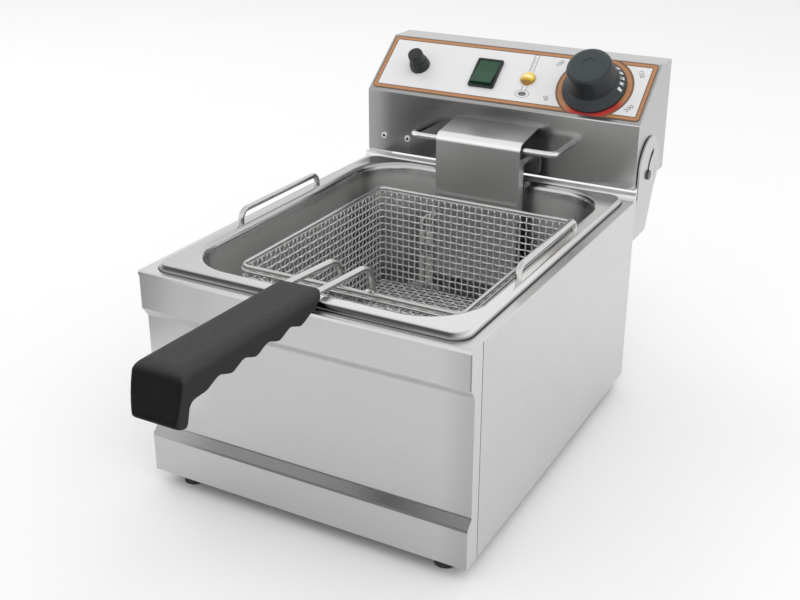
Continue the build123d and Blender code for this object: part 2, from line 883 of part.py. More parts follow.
# Heating element: down behind the guard, then a serpentine in one plane under the basket
leg_depth = guard_depth + sheet / 2 + tube_leg_gap + tube_diameter / 2
tube_front = opening_front + tube_front_gap
tube_return = leg_depth - tube_return_gap
turn_radius = (tube_outer_x - tube_inner_x) / 2 - past
middle_radius = tube_inner_x - past
half_tube = [
    (tube_leg_x, face_depth + tube_tail, tube_entry_height),
    (tube_leg_x, leg_depth, tube_entry_height),
    (tube_leg_x, leg_depth, tube_height),
    (tube_outer_x, leg_depth, tube_height),
    (tube_outer_x, tube_front, tube_height),
    (tube_inner_x, tube_front, tube_height),
    (tube_inner_x, tube_return, tube_height),
]
half_radii = [tube_bend, tube_bend, tube_bend, turn_radius, turn_radius, middle_radius]
other_half = [(-x, depth, height) for x, depth, height in reversed(half_tube)]
with BuildPart() as heating_element:
    add(bent_wire(route(half_tube + other_half), half_radii + half_radii[::-1], tube_diameter))
save(heating_element, "heating_element")

# Mounting plate of the element, on the face behind the guard
with BuildPart() as element_plate:
    with BuildSketch(Plane.XZ.offset(-y_at(face_depth))):
        with Locations((0, tube_entry_height)):
            RectangleRounded(plate_width, plate_height, 3)
        with Locations(*tube_places):
            Circle(tube_diameter / 2 + hole_gap, mode=Mode.SUBTRACT)
        with Locations(*capillary_places):
            Circle(capillary_diameter / 2 + hole_gap, mode=Mode.SUBTRACT)
    extrude(amount=plate_sheet)
save(element_plate, "element_plate")

# Brace under the element's runs, saddled to the tubes
brace_top = tube_height - tube_diameter / 2 + 1
brace_length = 2 * (tube_outer_x + brace_overhang)
with BuildPart() as element_brace:
    with BuildSketch(Plane.XZ.offset(-y_at(basket_middle + brace_width / 2))):
        with Locations((0, brace_top - brace_thickness / 2)):
            Rectangle(brace_length, brace_thickness)
        with Locations(*[(sign * x, tube_height) for x in (tube_inner_x, tube_outer_x) for _, sign in sides]):
            Circle(tube_diameter / 2 + hole_gap, mode=Mode.SUBTRACT)
    extrude(amount=brace_width)
save(element_brace, "element_brace")

# Sensor bulbs beside the guard, and the clip that carries them
bulb_depth = guard_depth - bulb_set_forward
bulb_first_x = -(guard_half_width + bulb_side_gap + bulb_diameter / 2)
bulb_places = [("limiter_bulb", bulb_first_x), ("thermostat_bulb", bulb_first_x - bulb_pitch)]
for bulb_name, bulb_x in bulb_places:
    with BuildPart() as bulb:
        with BuildSketch(Plane.XY.offset(bulb_bottom)):
            with Locations((bulb_x, y_at(bulb_depth))):
                Circle(bulb_diameter / 2)
        extrude(amount=bulb_length)
        fillet(bulb.edges().filter_by(GeomType.CIRCLE), radius=1.5)
    save(bulb, bulb_name)

clip_bottom = bulb_bottom + bulb_length - clip_drop - clip_height
clip_left = bulb_first_x - bulb_pitch - bulb_diameter / 2 - clip_gap - clip_sheet
clip_right = -guard_half_width
clip_depth = bulb_diameter + 2 * (clip_gap + clip_sheet)
clip_mid_x = (clip_left + clip_right) / 2
with BuildPart() as bulb_clip:
    with BuildSketch(Plane.XY.offset(clip_bottom)):
        with Locations((clip_mid_x, y_at(bulb_depth))):
            RectangleRounded(clip_right - clip_left, clip_depth, clip_sheet)
        with Locations(*[(x, y_at(bulb_depth)) for _, x in bulb_places]):
            Circle(bulb_diameter / 2 + clip_gap, mode=Mode.SUBTRACT)
    extrude(amount=clip_height)
save(bulb_clip, "bulb_clip")

# Capillary tubes from the bulbs, behind the guard and into the head
capillary_depth = leg_depth + tube_diameter / 2 + capillary_gap
bulb_top = bulb_bottom + bulb_length
with BuildPart() as capillary_tubes:
    for step, (_, bulb_x) in enumerate(bulb_places):
        run_height = bulb_top + capillary_rise + capillary_step * (1 - step)
        entry_x = -capillary_entry_x * (2 - step)
        capillary_route = [
            (bulb_x, bulb_depth, bulb_top),
            (bulb_x, bulb_depth, run_height),
            (bulb_x, capillary_depth, run_height),
            (entry_x, capillary_depth, run_height),
            (entry_x, capillary_depth, tube_entry_height),
            (entry_x, face_depth + capillary_tail, tube_entry_height),
        ]
        add(bent_wire(route(capillary_route), capillary_bend, capillary_diameter))
save(capillary_tubes, "capillary_tubes")

# Thermostat behind the panel, with the bush that its shaft turns in
with BuildPart() as thermostat_body:
    with BuildSketch(panel.offset(-sheet)):
        with Locations((knob_x, control_line)):
            RectangleRounded(thermostat_size, thermostat_size, 3)
    extrude(amount=-thermostat_depth)
    with BuildSketch(panel.offset(-sheet)):
        with Locations((knob_x, control_line)):
            Circle(bush_diameter / 2)
    extrude(amount=sheet + fascia_sheet)
    with BuildSketch(panel.offset(fascia_sheet)):
        with Locations((knob_x, control_line)):
            Circle(shaft_diameter / 2 + running_gap)
    extrude(amount=-(fascia_sheet + sheet + thermostat_depth - switch_wall), mode=Mode.SUBTRACT)
save(thermostat_body, "thermostat_body")

shaft_foot = sheet + thermostat_depth - switch_wall - knob_gap
with BuildPart() as thermostat_shaft:
    with BuildSketch(panel.offset(-shaft_foot)):
        with Locations((knob_x, control_line)):
            Circle(shaft_diameter / 2)
    extrude(amount=shaft_foot + fascia_sheet + shaft_reach)
save(thermostat_shaft, "thermostat_shaft")

# Thermostat knob: wide skirt under a tapered grip
knob_foot = fascia_sheet + knob_gap
knob_top = fascia_sheet + knob_height
knob_outline = [
    (0, knob_foot),
    (knob_diameter / 2, knob_foot),
    (knob_diameter / 2, knob_foot + knob_skirt_edge),
    (knob_grip_foot / 2 + knob_flare, knob_foot + knob_skirt - knob_flare),
    (knob_grip_foot / 2, knob_foot + knob_skirt),
    (knob_grip_top / 2, knob_top),
    (0, knob_top),
]
with BuildPart() as thermostat_knob:
    with BuildSketch(control_section(knob_x)):
        Polygon(*knob_outline, align=None)
    revolve(axis=control_axis(knob_x))
    fillet(thermostat_knob.edges().filter_by(GeomType.CIRCLE).sort_by(control_axis(knob_x))[-1], radius=knob_crown)
    with BuildSketch(panel.offset(knob_top)):
        with Locations((knob_x, control_line)):
            Circle(knob_cap_diameter / 2)
    extrude(amount=-knob_cap_sink, mode=Mode.SUBTRACT)
    with BuildSketch(panel.offset(knob_foot)):
        with Locations((knob_x, control_line)):
            Circle(shaft_diameter / 2 + running_gap)
    extrude(amount=shaft_reach, mode=Mode.SUBTRACT)
save(thermostat_knob, "thermostat_knob")

# Lamp: body behind the panel and a domed lens in front
with BuildPart() as lamp_body:
    with BuildSketch(panel.offset(fascia_sheet)):
        with Locations((lamp_x, control_line)):
            Circle(lamp_neck / 2)
    extrude(amount=-lamp_depth)
save(lamp_body, "lamp_body")

lens_foot = fascia_sheet
lens_shoulder = fascia_sheet + lamp_rim
lens_top = fascia_sheet + lamp_rise
lens_edge = (lamp_diameter / 2, lens_shoulder)
lens_dome = lens_top - lens_shoulder
lens_radius = ((lamp_diameter / 2) ** 2 + lens_dome**2) / (2 * lens_dome)
lens_mid = (lamp_diameter / 4, lens_top - lens_radius + (lens_radius**2 - (lamp_diameter / 4) ** 2) ** 0.5)
with BuildPart() as lamp_lens:
    with BuildSketch(control_section(lamp_x)):
        with BuildLine():
            Polyline((0, lens_top), (0, lens_foot), (lamp_diameter / 2, lens_foot), lens_edge)
            ThreePointArc(lens_edge, lens_mid, (0, lens_top))
        make_face()
    revolve(axis=control_axis(lamp_x))
save(lamp_lens, "lamp_lens")

# Rocker switch: housing with a bezel and a well, and the rocker on its two pins
switch_place = (switch_x, control_line)
bezel_top = fascia_sheet + bezel_lift
rocker_place = panel.from_local_coords((switch_x, control_line, rocker_axis_lift))
rocker_section = Plane(origin=rocker_place, x_dir=panel.y_dir, z_dir=panel.x_dir)
with BuildPart() as switch_housing:
    with BuildSketch(panel.offset(fascia_sheet)):
        with Locations(switch_place):
            RectangleRounded(bezel_width, bezel_height, 1.5)
    extrude(amount=bezel_lift)
    with BuildSketch(panel.offset(fascia_sheet)):
        with Locations(switch_place):
            Rectangle(switch_width, switch_height)
    extrude(amount=-switch_depth)
    with BuildSketch(panel.offset(bezel_top)):
        with Locations(switch_place):
            Rectangle(well_width, well_height)
    extrude(amount=-well_depth, mode=Mode.SUBTRACT)
    with BuildSketch(rocker_section):
        Circle(rocker_pin / 2 + running_gap)
    extrude(amount=switch_width / 2, both=True, mode=Mode.SUBTRACT)
save(switch_housing, "switch_housing")

rocker_lean = slope_angle - radians(rocker_tilt)
rocker_tilted = Plane(origin=rocker_place, x_dir=(0, cos(rocker_lean), sin(rocker_lean)), z_dir=(1, 0, 0))
rocker_half = well_height / 2 - rocker_gap
rocker_half_width = well_width / 2 - rocker_gap
rocker_outline = [
    (-rocker_half, rocker_crown),
    (0, rocker_crown - rocker_dip),
    (rocker_half, rocker_crown),
    (rocker_half - rocker_gap, -rocker_foot),
    (rocker_gap - rocker_half, -rocker_foot),
]
with BuildPart() as rocker:
    with BuildSketch(rocker_tilted):
        Polygon(*rocker_outline, align=None)
    extrude(amount=rocker_half_width, both=True)
    with BuildSketch(rocker_section):
        Circle(rocker_pin / 2)
    extrude(amount=switch_width / 2, both=True)
save(rocker, "rocker")

# Limiter behind the panel, its reset button and the screw cap over it
button_foot = neck_reach + limiter_depth / 2
with BuildPart() as limiter_body:
    with BuildSketch(panel.offset(-sheet)):
        with Locations((reset_x, control_line)):
            RectangleRounded(limiter_width, limiter_height, 2)
    extrude(amount=-limiter_depth)
    with BuildSketch(panel.offset(-sheet)):
        with Locations((reset_x, control_line)):
            Circle(neck_diameter / 2)
    extrude(amount=sheet + fascia_sheet + neck_reach)
    with BuildSketch(panel.offset(fascia_sheet + neck_reach)):
        with Locations((reset_x, control_line)):
            Circle(reset_pin / 2 + running_gap)
    extrude(amount=-(button_foot + reset_travel + past), mode=Mode.SUBTRACT)
save(limiter_body, "limiter_body")

with BuildPart() as reset_button:
    with BuildSketch(panel.offset(fascia_sheet + reset_reach)):
        with Locations((reset_x, control_line)):
            Circle(reset_pin / 2)
    extrude(amount=-(reset_reach - neck_reach + button_foot))
save(reset_button, "reset_button")

cap_outline = [
    (0, fascia_sheet + 2 * hole_gap),
    (cap_flange_diameter / 2, fascia_sheet + 2 * hole_gap),
    (cap_flange_diameter / 2, fascia_sheet + cap_flange_edge),
    (cap_flange_top / 2, fascia_sheet + cap_flange_height - cap_flange_edge),
    (cap_foot_diameter / 2, fascia_sheet + cap_flange_height),
    (cap_top_diameter / 2, fascia_sheet + cap_height),
    (0, fascia_sheet + cap_height),
]
flute_circle = cap_foot_diameter / 2 + 0.4
with BuildPart() as reset_cap:
    with BuildSketch(control_section(reset_x)):
        Polygon(*cap_outline, align=None)
    revolve(axis=control_axis(reset_x))
    fillet(reset_cap.edges().filter_by(GeomType.CIRCLE).sort_by(control_axis(reset_x))[-1], radius=1.5)
    with BuildSketch(panel.offset(fascia_sheet + cap_flange_height)):
        with Locations((reset_x, control_line)):
            with PolarLocations(flute_circle, cap_flutes):
                Circle(0.9)
    extrude(amount=cap_height, mode=Mode.SUBTRACT)
    with BuildSketch(panel):
        with Locations((reset_x, control_line)):
            Circle(neck_diameter / 2 + cap_wall_gap)
    extrude(amount=fascia_sheet + reset_reach + past, mode=Mode.SUBTRACT)
save(reset_cap, "reset_cap")

# Terminal block on a bracket riveted to the face's inside
shelf_height = head_bottom + bracket_foot_lift
inside_face = face_depth + sheet
with BuildPart() as terminal_bracket:
    with BuildSketch(Plane.YZ.offset(bracket_x - bracket_width / 2)):
        corners = [
            (inside_face, shelf_height),
            (inside_face + bracket_reach, shelf_height),
            (inside_face + bracket_reach, shelf_height + sheet),
            (inside_face + sheet, shelf_height + sheet),
            (inside_face + sheet, shelf_height + bracket_rise),
            (inside_face, shelf_height + bracket_rise),
        ]
        Polygon(*section(corners), align=None)
    extrude(amount=bracket_width)
    with BuildSketch(Plane.XZ.offset(-y_at(face_depth))):
        with Locations(*rivet_places):
            Circle(rivet_diameter / 2 + screw_gap)
    extrude(amount=-3 * sheet, mode=Mode.SUBTRACT)
save(terminal_bracket, "terminal_bracket")

block_middle = inside_face + bracket_reach - block_depth / 2 - past
with BuildPart() as terminal_block:
    with BuildSketch(Plane.XY.offset(shelf_height + sheet)):
        with Locations((bracket_x, y_at(block_middle))):
            Rectangle(block_length, block_depth)
    extrude(amount=block_height)
    with BuildSketch(Plane.XY.offset(shelf_height + sheet + block_height)):
        with Locations((bracket_x, y_at(block_middle))):
            with GridLocations(block_length / block_ways, 0, block_ways, 1):
                Circle(screw_diameter / 2)
    extrude(amount=-block_height / 2, mode=Mode.SUBTRACT)
save(terminal_block, "terminal_block")

# Hollow blind rivets in the face
with BuildPart() as blind_rivets:
    with BuildSketch(Plane.XZ.offset(-y_at(face_depth))):
        with Locations(*rivet_places):
            Circle(rivet_head_diameter / 2)
    extrude(amount=rivet_head_height, taper=30)
    with BuildSketch(Plane.XZ.offset(-y_at(face_depth))):
        with Locations(*rivet_places):
            Circle(rivet_diameter / 2)
    extrude(amount=-(2 * sheet + past))
    with BuildSketch(Plane.XZ.offset(-y_at(face_depth - rivet_head_height))):
        with Locations(*rivet_places):
            Circle(rivet_bore / 2)
    extrude(amount=-2 * rivet_head_height, mode=Mode.SUBTRACT)
save(blind_rivets, "blind_rivets")

# Cable gland in the back cover: thread and nut inside, hexagon and dome outside
with BuildPart() as cable_gland:
    with BuildSketch(Plane.XZ.offset(-y_at(head_rear + sheet))):
        with Locations(gland_place):
            RegularPolygon(gland_flats / 2, 6, major_radius=False)
    extrude(amount=-gland_hex)
    with BuildSketch(Plane.XZ.offset(-y_at(head_rear + sheet + gland_hex))):
        with Locations(gland_place):
            Circle(gland_flats / 2 - past)
    extrude(amount=-(gland_length - gland_hex), taper=18)
    with BuildSketch(Plane.XZ.offset(-y_at(head_rear + sheet))):
        with Locations(gland_place):
            Circle(gland_thread / 2)
    extrude(amount=2 * sheet + gland_nut)
    with BuildSketch(Plane.XZ.offset(-y_at(head_rear))):
        with Locations(gland_place):
            RegularPolygon(gland_flats / 2, 6, major_radius=False)
    extrude(amount=gland_nut)
    with BuildSketch(Plane.XZ.offset(-y_at(gland_end))):
        with Locations(gland_place):
            Circle(gland_bore / 2)
    extrude(amount=gland_length + 2 * sheet + gland_nut, mode=Mode.SUBTRACT)
save(cable_gland, "cable_gland")

# Basket wires: rim on top of the mesh, thinner wire around its outside
lower_wire_out = (mesh_sheet + lower_wire) / 2
basket_place = (0, y_at(basket_middle))
basket_length = basket_rear - basket_front
for wire_name, wire_diameter, grow, wire_height in (
    ("basket_rim", rim_wire, 0, basket_rim),
    ("basket_lower_wire", lower_wire, lower_wire_out, basket_rim - lower_wire_drop),
):
    with BuildPart() as basket_wire:
        with BuildLine(Plane.XY.offset(wire_height)) as wire_line:
            FilletPolyline(
                (0, y_at(basket_front - grow)),
                (basket_half + grow, y_at(basket_front - grow)),
                (basket_half + grow, y_at(basket_rear + grow)),
                (-basket_half - grow, y_at(basket_rear + grow)),
                (-basket_half - grow, y_at(basket_front - grow)),
                (0, y_at(basket_front - grow)),
                radius=[0] + 4 * [basket_corner + grow],
            )
        with BuildSketch(Plane(origin=wire_line.wire() @ 0, z_dir=wire_line.wire() % 0)):
            Circle(wire_diameter / 2)
        sweep()
    save(basket_wire, wire_name)

# Mesh walls and floor, as nets of square gaps
wall_height = basket_rim - rim_wire / 2 - basket_floor
wall_end = basket_corner + 2.0
gap_size = mesh_pitch - mesh_strand
wall_rows = int((wall_height - 2 * mesh_margin) // mesh_pitch)
front_columns = int((2 * (basket_half - wall_end) - mesh_margin) // mesh_pitch)
side_columns = int((basket_length - 2 * wall_end - mesh_margin) // mesh_pitch)
wall_mid_height = basket_floor + wall_height / 2
for end_name, end_depth, inward in (("front", basket_front, 1), ("rear", basket_rear, -1)):
    with BuildPart() as end_mesh:
        with BuildSketch(Plane.XY.offset(basket_floor)):
            with BuildLine():
                FilletPolyline(
                    (-basket_half, y_at(end_depth + inward * wall_end)),
                    (-basket_half, y_at(end_depth)),
                    (basket_half, y_at(end_depth)),
                    (basket_half, y_at(end_depth + inward * wall_end)),
                    radius=basket_corner,
                )
            trace(line_width=mesh_sheet)
        extrude(amount=wall_height)
        with BuildSketch(Plane.XZ.offset(-y_at(end_depth))):
            with Locations((0, wall_mid_height)):
                with GridLocations(mesh_pitch, mesh_pitch, front_columns, wall_rows):
                    Rectangle(gap_size, gap_size)
        extrude(amount=mesh_sheet, both=True, mode=Mode.SUBTRACT)
    save(end_mesh, f"basket_{end_name}_mesh")

for side, sign in sides:
    with BuildPart() as side_mesh:
        with BuildSketch(Plane.YZ.offset(sign * basket_half)):
            with Locations((y_at(basket_middle), wall_mid_height)):
                Rectangle(basket_length - 2 * wall_end, wall_height)
                with GridLocations(mesh_pitch, mesh_pitch, side_columns, wall_rows):
                    Rectangle(gap_size, gap_size, mode=Mode.SUBTRACT)
        extrude(amount=mesh_sheet / 2, both=True)
    save(side_mesh, f"basket_{side}_mesh")

floor_columns = int((2 * basket_half - mesh_margin) // mesh_pitch)
floor_rows = int((basket_length - mesh_margin) // mesh_pitch)
with BuildPart() as floor_mesh:
    with BuildSketch(Plane.XY.offset(basket_floor)):
        with Locations(basket_place):
            RectangleRounded(
                2 * basket_half - mesh_sheet,
                basket_length - mesh_sheet,
                basket_corner - mesh_sheet / 2,
            )
            with GridLocations(mesh_pitch, mesh_pitch, floor_columns, floor_rows):
                Rectangle(gap_size, gap_size, mode=Mode.SUBTRACT)
    extrude(amount=mesh_sheet)
save(floor_mesh, "basket_floor_mesh")

# Handle hinge: leaf on the front wall, knuckle around the handle's cross bar, two stop fingers
leaf_face = basket_front + mesh_sheet / 2
finger_height = hinge_height + handle_wire_diameter / 2 + finger_gap
knuckle_radius = handle_wire_diameter / 2 + running_gap + hinge_wall
with BuildPart() as handle_hinge:
    with BuildSketch(Plane.XZ.offset(-y_at(leaf_face))):
        with Locations((0, finger_height + hinge_wall - leaf_depth / 2)):
            Rectangle(2 * leaf_half_width, leaf_depth)
    extrude(amount=-hinge_wall)
    with BuildSketch(Plane.XY.offset(finger_height)):
        with Locations((0, y_at(leaf_face + finger_length / 2))):
            with GridLocations(2 * handle_half_span, 0, 2, 1):
                Rectangle(finger_width, finger_length)
    extrude(amount=hinge_wall)
    with BuildSketch(Plane.YZ):
        with Locations((y_at((leaf_face + hinge_depth) / 2), hinge_height)):
            Rectangle(hinge_depth - leaf_face, 2 * hinge_wall)
        with Locations((y_at(hinge_depth), hinge_height)):
            Circle(knuckle_radius)
            Circle(handle_wire_diameter / 2 + running_gap, mode=Mode.SUBTRACT)
    extrude(amount=hinge_half_width, both=True)
save(handle_hinge, "handle_hinge")

# Handle wire: over the front rim, down inside the basket and back to the cross bar in the knuckle
prong_inside = basket_front + prong_reach_inside
half_handle = [
    (handle_half_span, grip_start - prong_embed, prong_height),
    (handle_half_span, grip_start + prong_bend_gap, prong_height),
    (handle_half_span, prong_inside, prong_height - prong_fall),
    (handle_half_span, prong_inside, hinge_height),
    (handle_half_span, hinge_depth, hinge_height),
]
handle_radii = [prong_ease, prong_arc, prong_return_bend, prong_return_bend]
other_half = [(-x, depth, height) for x, depth, height in reversed(half_handle)]
with BuildPart() as handle_wire:
    add(bent_wire(route(half_handle + other_half), handle_radii + handle_radii[::-1], handle_wire_diameter))
save(handle_wire, "handle_wire")

# Moulded grip: straight top, finger scallops below, dropped outer end
grip_bottom = prong_height - grip_under
grip_drop = prong_height - grip_drop_under
scallop_top = grip_bottom + scallop_depth
scallop_points = [
    (grip_start - scallop_start - step * scallop_pitch / 2, grip_bottom if step % 2 else scallop_top)
    for step in range(2 * scallop_count)
]
grip_corners = [
    ((grip_start, scallop_top - scallop_depth / 4), 0),
    ((grip_start, prong_height + grip_over_inner), grip_corner),
    ((grip_end + grip_end_lean, prong_height + grip_over_outer), grip_top_corner),
    ((grip_end, grip_drop + past), grip_drop_corner),
    ((grip_end + grip_drop_thickness, grip_drop), grip_drop_inner),
    ((grip_start - grip_heel, grip_bottom), grip_corner),
]
grip_corners += [(point, scallop_radius) for point in reversed(scallop_points[1:])]
grip_corners += [(scallop_points[0], grip_corner)]
grip_outline = section([point for point, _ in grip_corners])
grip_slope = atan2(grip_over_outer - grip_over_inner, grip_length - grip_end_lean)
grip_top_line = Plane(
    origin=(0, y_at(grip_start), prong_height + grip_over_inner),
    x_dir=(1, 0, 0),
    z_dir=(0, -cos(grip_slope), sin(grip_slope)),
)
with BuildPart() as grip_top_rounding:
    with BuildSketch(grip_top_line):
        with Locations((0, -grip_width)):
            RectangleRounded(grip_width, 2 * grip_width, grip_edge)
    extrude(amount=1.2 * grip_length, both=True)

with BuildPart() as grip_plan_rounding:
    with BuildSketch(Plane.XY.offset(grip_drop - past)):
        with Locations((0, y_at((grip_start + grip_end) / 2))):
            RectangleRounded(grip_width, grip_length, grip_end_edge)
    extrude(amount=2 * grip_width)

with BuildPart() as handle_grip:
    with BuildSketch(Plane.YZ) as grip_side:
        Polygon(*grip_outline, align=None)
        for corner, (_, rounding) in zip(grip_outline, grip_corners):
            if rounding:
                fillet(grip_side.vertices().sort_by_distance((*corner, 0))[0], radius=rounding)
    extrude(amount=grip_width / 2, both=True)
    add(grip_top_rounding.part, mode=Mode.INTERSECT)
    add(grip_plan_rounding.part, mode=Mode.INTERSECT)
    with BuildSketch(Plane.XZ.offset(-y_at(grip_start))):
        with Locations((0, prong_height)):
            with GridLocations(2 * handle_half_span, 0, 2, 1):
                Circle(handle_wire_diameter / 2 + hole_gap)
    extrude(amount=prong_embed + past, mode=Mode.SUBTRACT)
save(handle_grip, "handle_grip")
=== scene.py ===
"""Looks of the countertop fryer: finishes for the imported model, its woven basket, grip and printed panel."""
import math
from collections import namedtuple

import bmesh
import bpy
from mathutils import Matrix, Vector


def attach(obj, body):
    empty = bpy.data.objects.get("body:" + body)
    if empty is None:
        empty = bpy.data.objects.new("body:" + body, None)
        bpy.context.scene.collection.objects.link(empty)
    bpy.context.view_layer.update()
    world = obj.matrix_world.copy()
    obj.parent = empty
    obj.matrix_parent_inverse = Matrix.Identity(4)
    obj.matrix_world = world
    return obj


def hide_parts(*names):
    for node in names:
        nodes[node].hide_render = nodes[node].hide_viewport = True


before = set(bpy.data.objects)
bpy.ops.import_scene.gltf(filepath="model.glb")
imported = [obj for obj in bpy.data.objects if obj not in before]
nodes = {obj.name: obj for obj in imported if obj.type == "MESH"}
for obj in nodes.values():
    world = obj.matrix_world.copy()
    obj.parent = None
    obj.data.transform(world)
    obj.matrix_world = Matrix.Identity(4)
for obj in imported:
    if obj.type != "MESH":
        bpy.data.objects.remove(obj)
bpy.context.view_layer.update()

# Places on the fryer in millimetres: depth runs back from the front panel's face, height up from the table

MM = 0.001
MIDDLE = 146.1
FACE_DEPTH = 341.5
SLOPE_FOOT = 255.2
SLOPE_RUN = 54.4
SLOPE_RISE = 44.2
SLOPE = math.atan2(SLOPE_RISE, SLOPE_RUN)
PANEL_FOIL = 0.6
CONTROL_LINE = 35.2
KNOB_X = 84.5
LAMP_X = 19.2


def spot(x, depth, height):
    """Point in metres from millimetres: across, behind the front panel's face, above the table."""
    return Vector((x, depth - MIDDLE, height)) * MM


# Camera at the photograph's place

CAMERA_SPOT = (418.8, -604.9, 520.7)
CAMERA_RIGHT = (0.887638, 0.460391, 0.011792)
CAMERA_UP = (-0.183151, 0.329393, 0.926259)
CAMERA_BACK = (0.422557, -0.824343, 0.376702)
FOCAL_PIXELS = 1137.24
PHOTO_WIDTH = 800
PHOTO_HEIGHT = 600
PRINCIPAL = (431.33, 259.96)
SENSOR = 36.0
NEAR_CLIP = 0.01


def place_camera():
    """Camera with its lens shifted to the photograph's own middle."""
    lens = bpy.data.cameras.new("studio_camera")
    lens.sensor_width = SENSOR
    lens.lens = FOCAL_PIXELS / PHOTO_WIDTH * SENSOR
    lens.shift_x = (PHOTO_WIDTH / 2 - PRINCIPAL[0]) / PHOTO_WIDTH
    lens.shift_y = (PRINCIPAL[1] - PHOTO_HEIGHT / 2) / PHOTO_WIDTH
    lens.clip_start = NEAR_CLIP
    camera = bpy.data.objects.new("studio_camera", lens)
    axes = Matrix((CAMERA_RIGHT, CAMERA_UP, CAMERA_BACK)).transposed().to_4x4()
    camera.matrix_world = Matrix.Translation(spot(*CAMERA_SPOT)) @ axes
    bpy.context.scene.collection.objects.link(camera)
    bpy.context.scene.camera = camera


# Finishes: shader values that add and multiply like numbers

STEEL_WARMTH = 0.992

# Places of the colours among a mix node's sockets
MIX_FIRST = 6
MIX_SECOND = 7
MIX_RESULT = 2

# The span along which a tone comes in, the largest share of it, and its steel grey
Tone = namedtuple("Tone", "span most grey")


class Value:
    """One socket of a node tree, for sums written as plain expressions."""

    def __init__(self, owner, socket):
        self.owner = owner
        self.socket = socket

    def math(self, operation, *others):
        """Math node with this value first."""
        return self.owner.node("ShaderNodeMath", {"operation": operation}, [self, *others])

    def after(self, operation, first):
        """Math node with another value before this one."""
        return self.owner.node("ShaderNodeMath", {"operation": operation}, [first, self])

    def __add__(self, other):
        return self.math("ADD", other)

    def __radd__(self, other):
        return self.math("ADD", other)

    def __sub__(self, other):
        return self.math("SUBTRACT", other)

    def __rsub__(self, other):
        return self.after("SUBTRACT", other)

    def __mul__(self, other):
        return self.math("MULTIPLY", other)

    def __rmul__(self, other):
        return self.math("MULTIPLY", other)

    def __truediv__(self, other):
        return self.math("DIVIDE", other)

    def __rtruediv__(self, other):
        return self.after("DIVIDE", other)

    def __gt__(self, other):
        return self.math("GREATER_THAN", other)

    def __lt__(self, other):
        return self.math("LESS_THAN", other)

    def __abs__(self):
        return self.math("ABSOLUTE")


class Recipe:
    """A node tree and the one way its nodes are made."""

    def __init__(self, tree):
        self.tree = tree

    def node(self, kind, settings=None, values=None, out=0):
        """Adds a node: settings first, then values or links by socket name or in order."""
        made = self.tree.nodes.new(kind)
        for key, value in (settings or {}).items():
            setattr(made, key, value)
        pairs = values.items() if isinstance(values, dict) else enumerate(values or [])
        for key, value in pairs:
            self.feed(made.inputs[key], value)
        if isinstance(out, tuple):
            return [Value(self, made.outputs[name]) for name in out]
        return Value(self, made.outputs[out])

    def feed(self, socket, value):
        """Links a value to a socket, or sets the socket to a number or a colour."""
        if isinstance(value, Value):
            self.tree.links.new(value.socket, socket)
        elif isinstance(value, tuple) and len(value) == 3 and len(socket.default_value) == 4:
            socket.default_value = (*value, 1.0)
        else:
            socket.default_value = value

    def grade(self, value, low, high, to_low=0.0, to_high=1.0, smooth=False):
        """Value carried from one span to another and held at its ends."""
        kind = "SMOOTHSTEP" if smooth else "LINEAR"
        spans = [value, low, high, to_low, to_high]
        return self.node("ShaderNodeMapRange", {"interpolation_type": kind}, spans)


class Finish(Recipe):
    """A procedural material, with the noises and tones that the fryer's looks share."""

    def __init__(self, name):
        self.name = name
        self.material = bpy.data.materials.new(name)
        self.material.use_nodes = True
        super().__init__(self.material.node_tree)
        self.shader = self.tree.nodes["Principled BSDF"]
        self.place = None

    def give(self, **inputs):
        """Sets the shader's own sockets; words are joined by underscores."""
        for key, value in inputs.items():
            self.feed(self.shader.inputs[key.replace("_", " ").title().replace("Ior", "IOR")], value)
        return self

    def axes(self):
        """Across, depth and height of a surface point in millimetres."""
        if self.place is None:
            coordinates = self.node("ShaderNodeTexCoord", out="Object")
            across, back, up = self.node("ShaderNodeSeparateXYZ", None, [coordinates], out=("X", "Y", "Z"))
            self.place = (across / MM, back / MM + MIDDLE, up / MM)
        return self.place

    def vector(self, x, y, z):
        return self.node("ShaderNodeCombineXYZ", None, [x, y, z])

    def noise(self, vector, scale, detail=2.0, rough=0.5):
        sockets = {"Vector": vector, "Scale": scale, "Detail": detail, "Roughness": rough}
        return self.node("ShaderNodeTexNoise", None, sockets)

    def cloud(self, scale, detail=2.0, rough=0.5):
        """Noise through the whole solid, the same in every direction."""
        return self.noise(self.vector(*self.axes()), scale, detail, rough)

    def grain(self, density, scale=1.0):
        """Fine noise with its own density across, in depth and in height."""
        drawn = [place * factor for place, factor in zip(self.axes(), density)]
        return self.noise(self.vector(*drawn), scale, detail=3.0, rough=0.6)

    def fade(self, value, span, most=1.0):
        """Share that grows softly from nothing at the span's first end to its most at the second."""
        return self.grade(value, *span, 0.0, most, True)

    def blend(self, factor, first, second):
        """Colour mixed from first to second by factor."""
        sockets = {"Factor": factor, MIX_FIRST: first, MIX_SECOND: second}
        return self.node("ShaderNodeMix", {"data_type": "RGBA"}, sockets, MIX_RESULT)

    def toned(self, color, value, tone, mask=None):
        """A colour with a steel tone brought in along the tone's span of a value, inside a mask."""
        share = self.fade(value, tone.span, tone.most)
        if mask is not None:
            share = share * mask
        return self.blend(share, color, steel(tone.grey))

    def base(self):
        """Base colour as it stands."""
        return Value(self, self.shader.inputs["Base Color"].links[0].from_socket)

    def paint(self, share, color):
        """Lays a colour over the base colour by a share."""
        return self.give(base_color=self.blend(share, self.base(), color))

    def shade(self, value, tone, mask=None):
        """Lays a steel tone over the base colour."""
        return self.give(base_color=self.toned(self.base(), value, tone, mask))

    def relief(self, height, distance, strength):
        """Fine bumps in the surface."""
        sockets = {"Height": height, "Distance": distance, "Strength": strength}
        return self.give(normal=self.node("ShaderNodeBump", None, sockets))


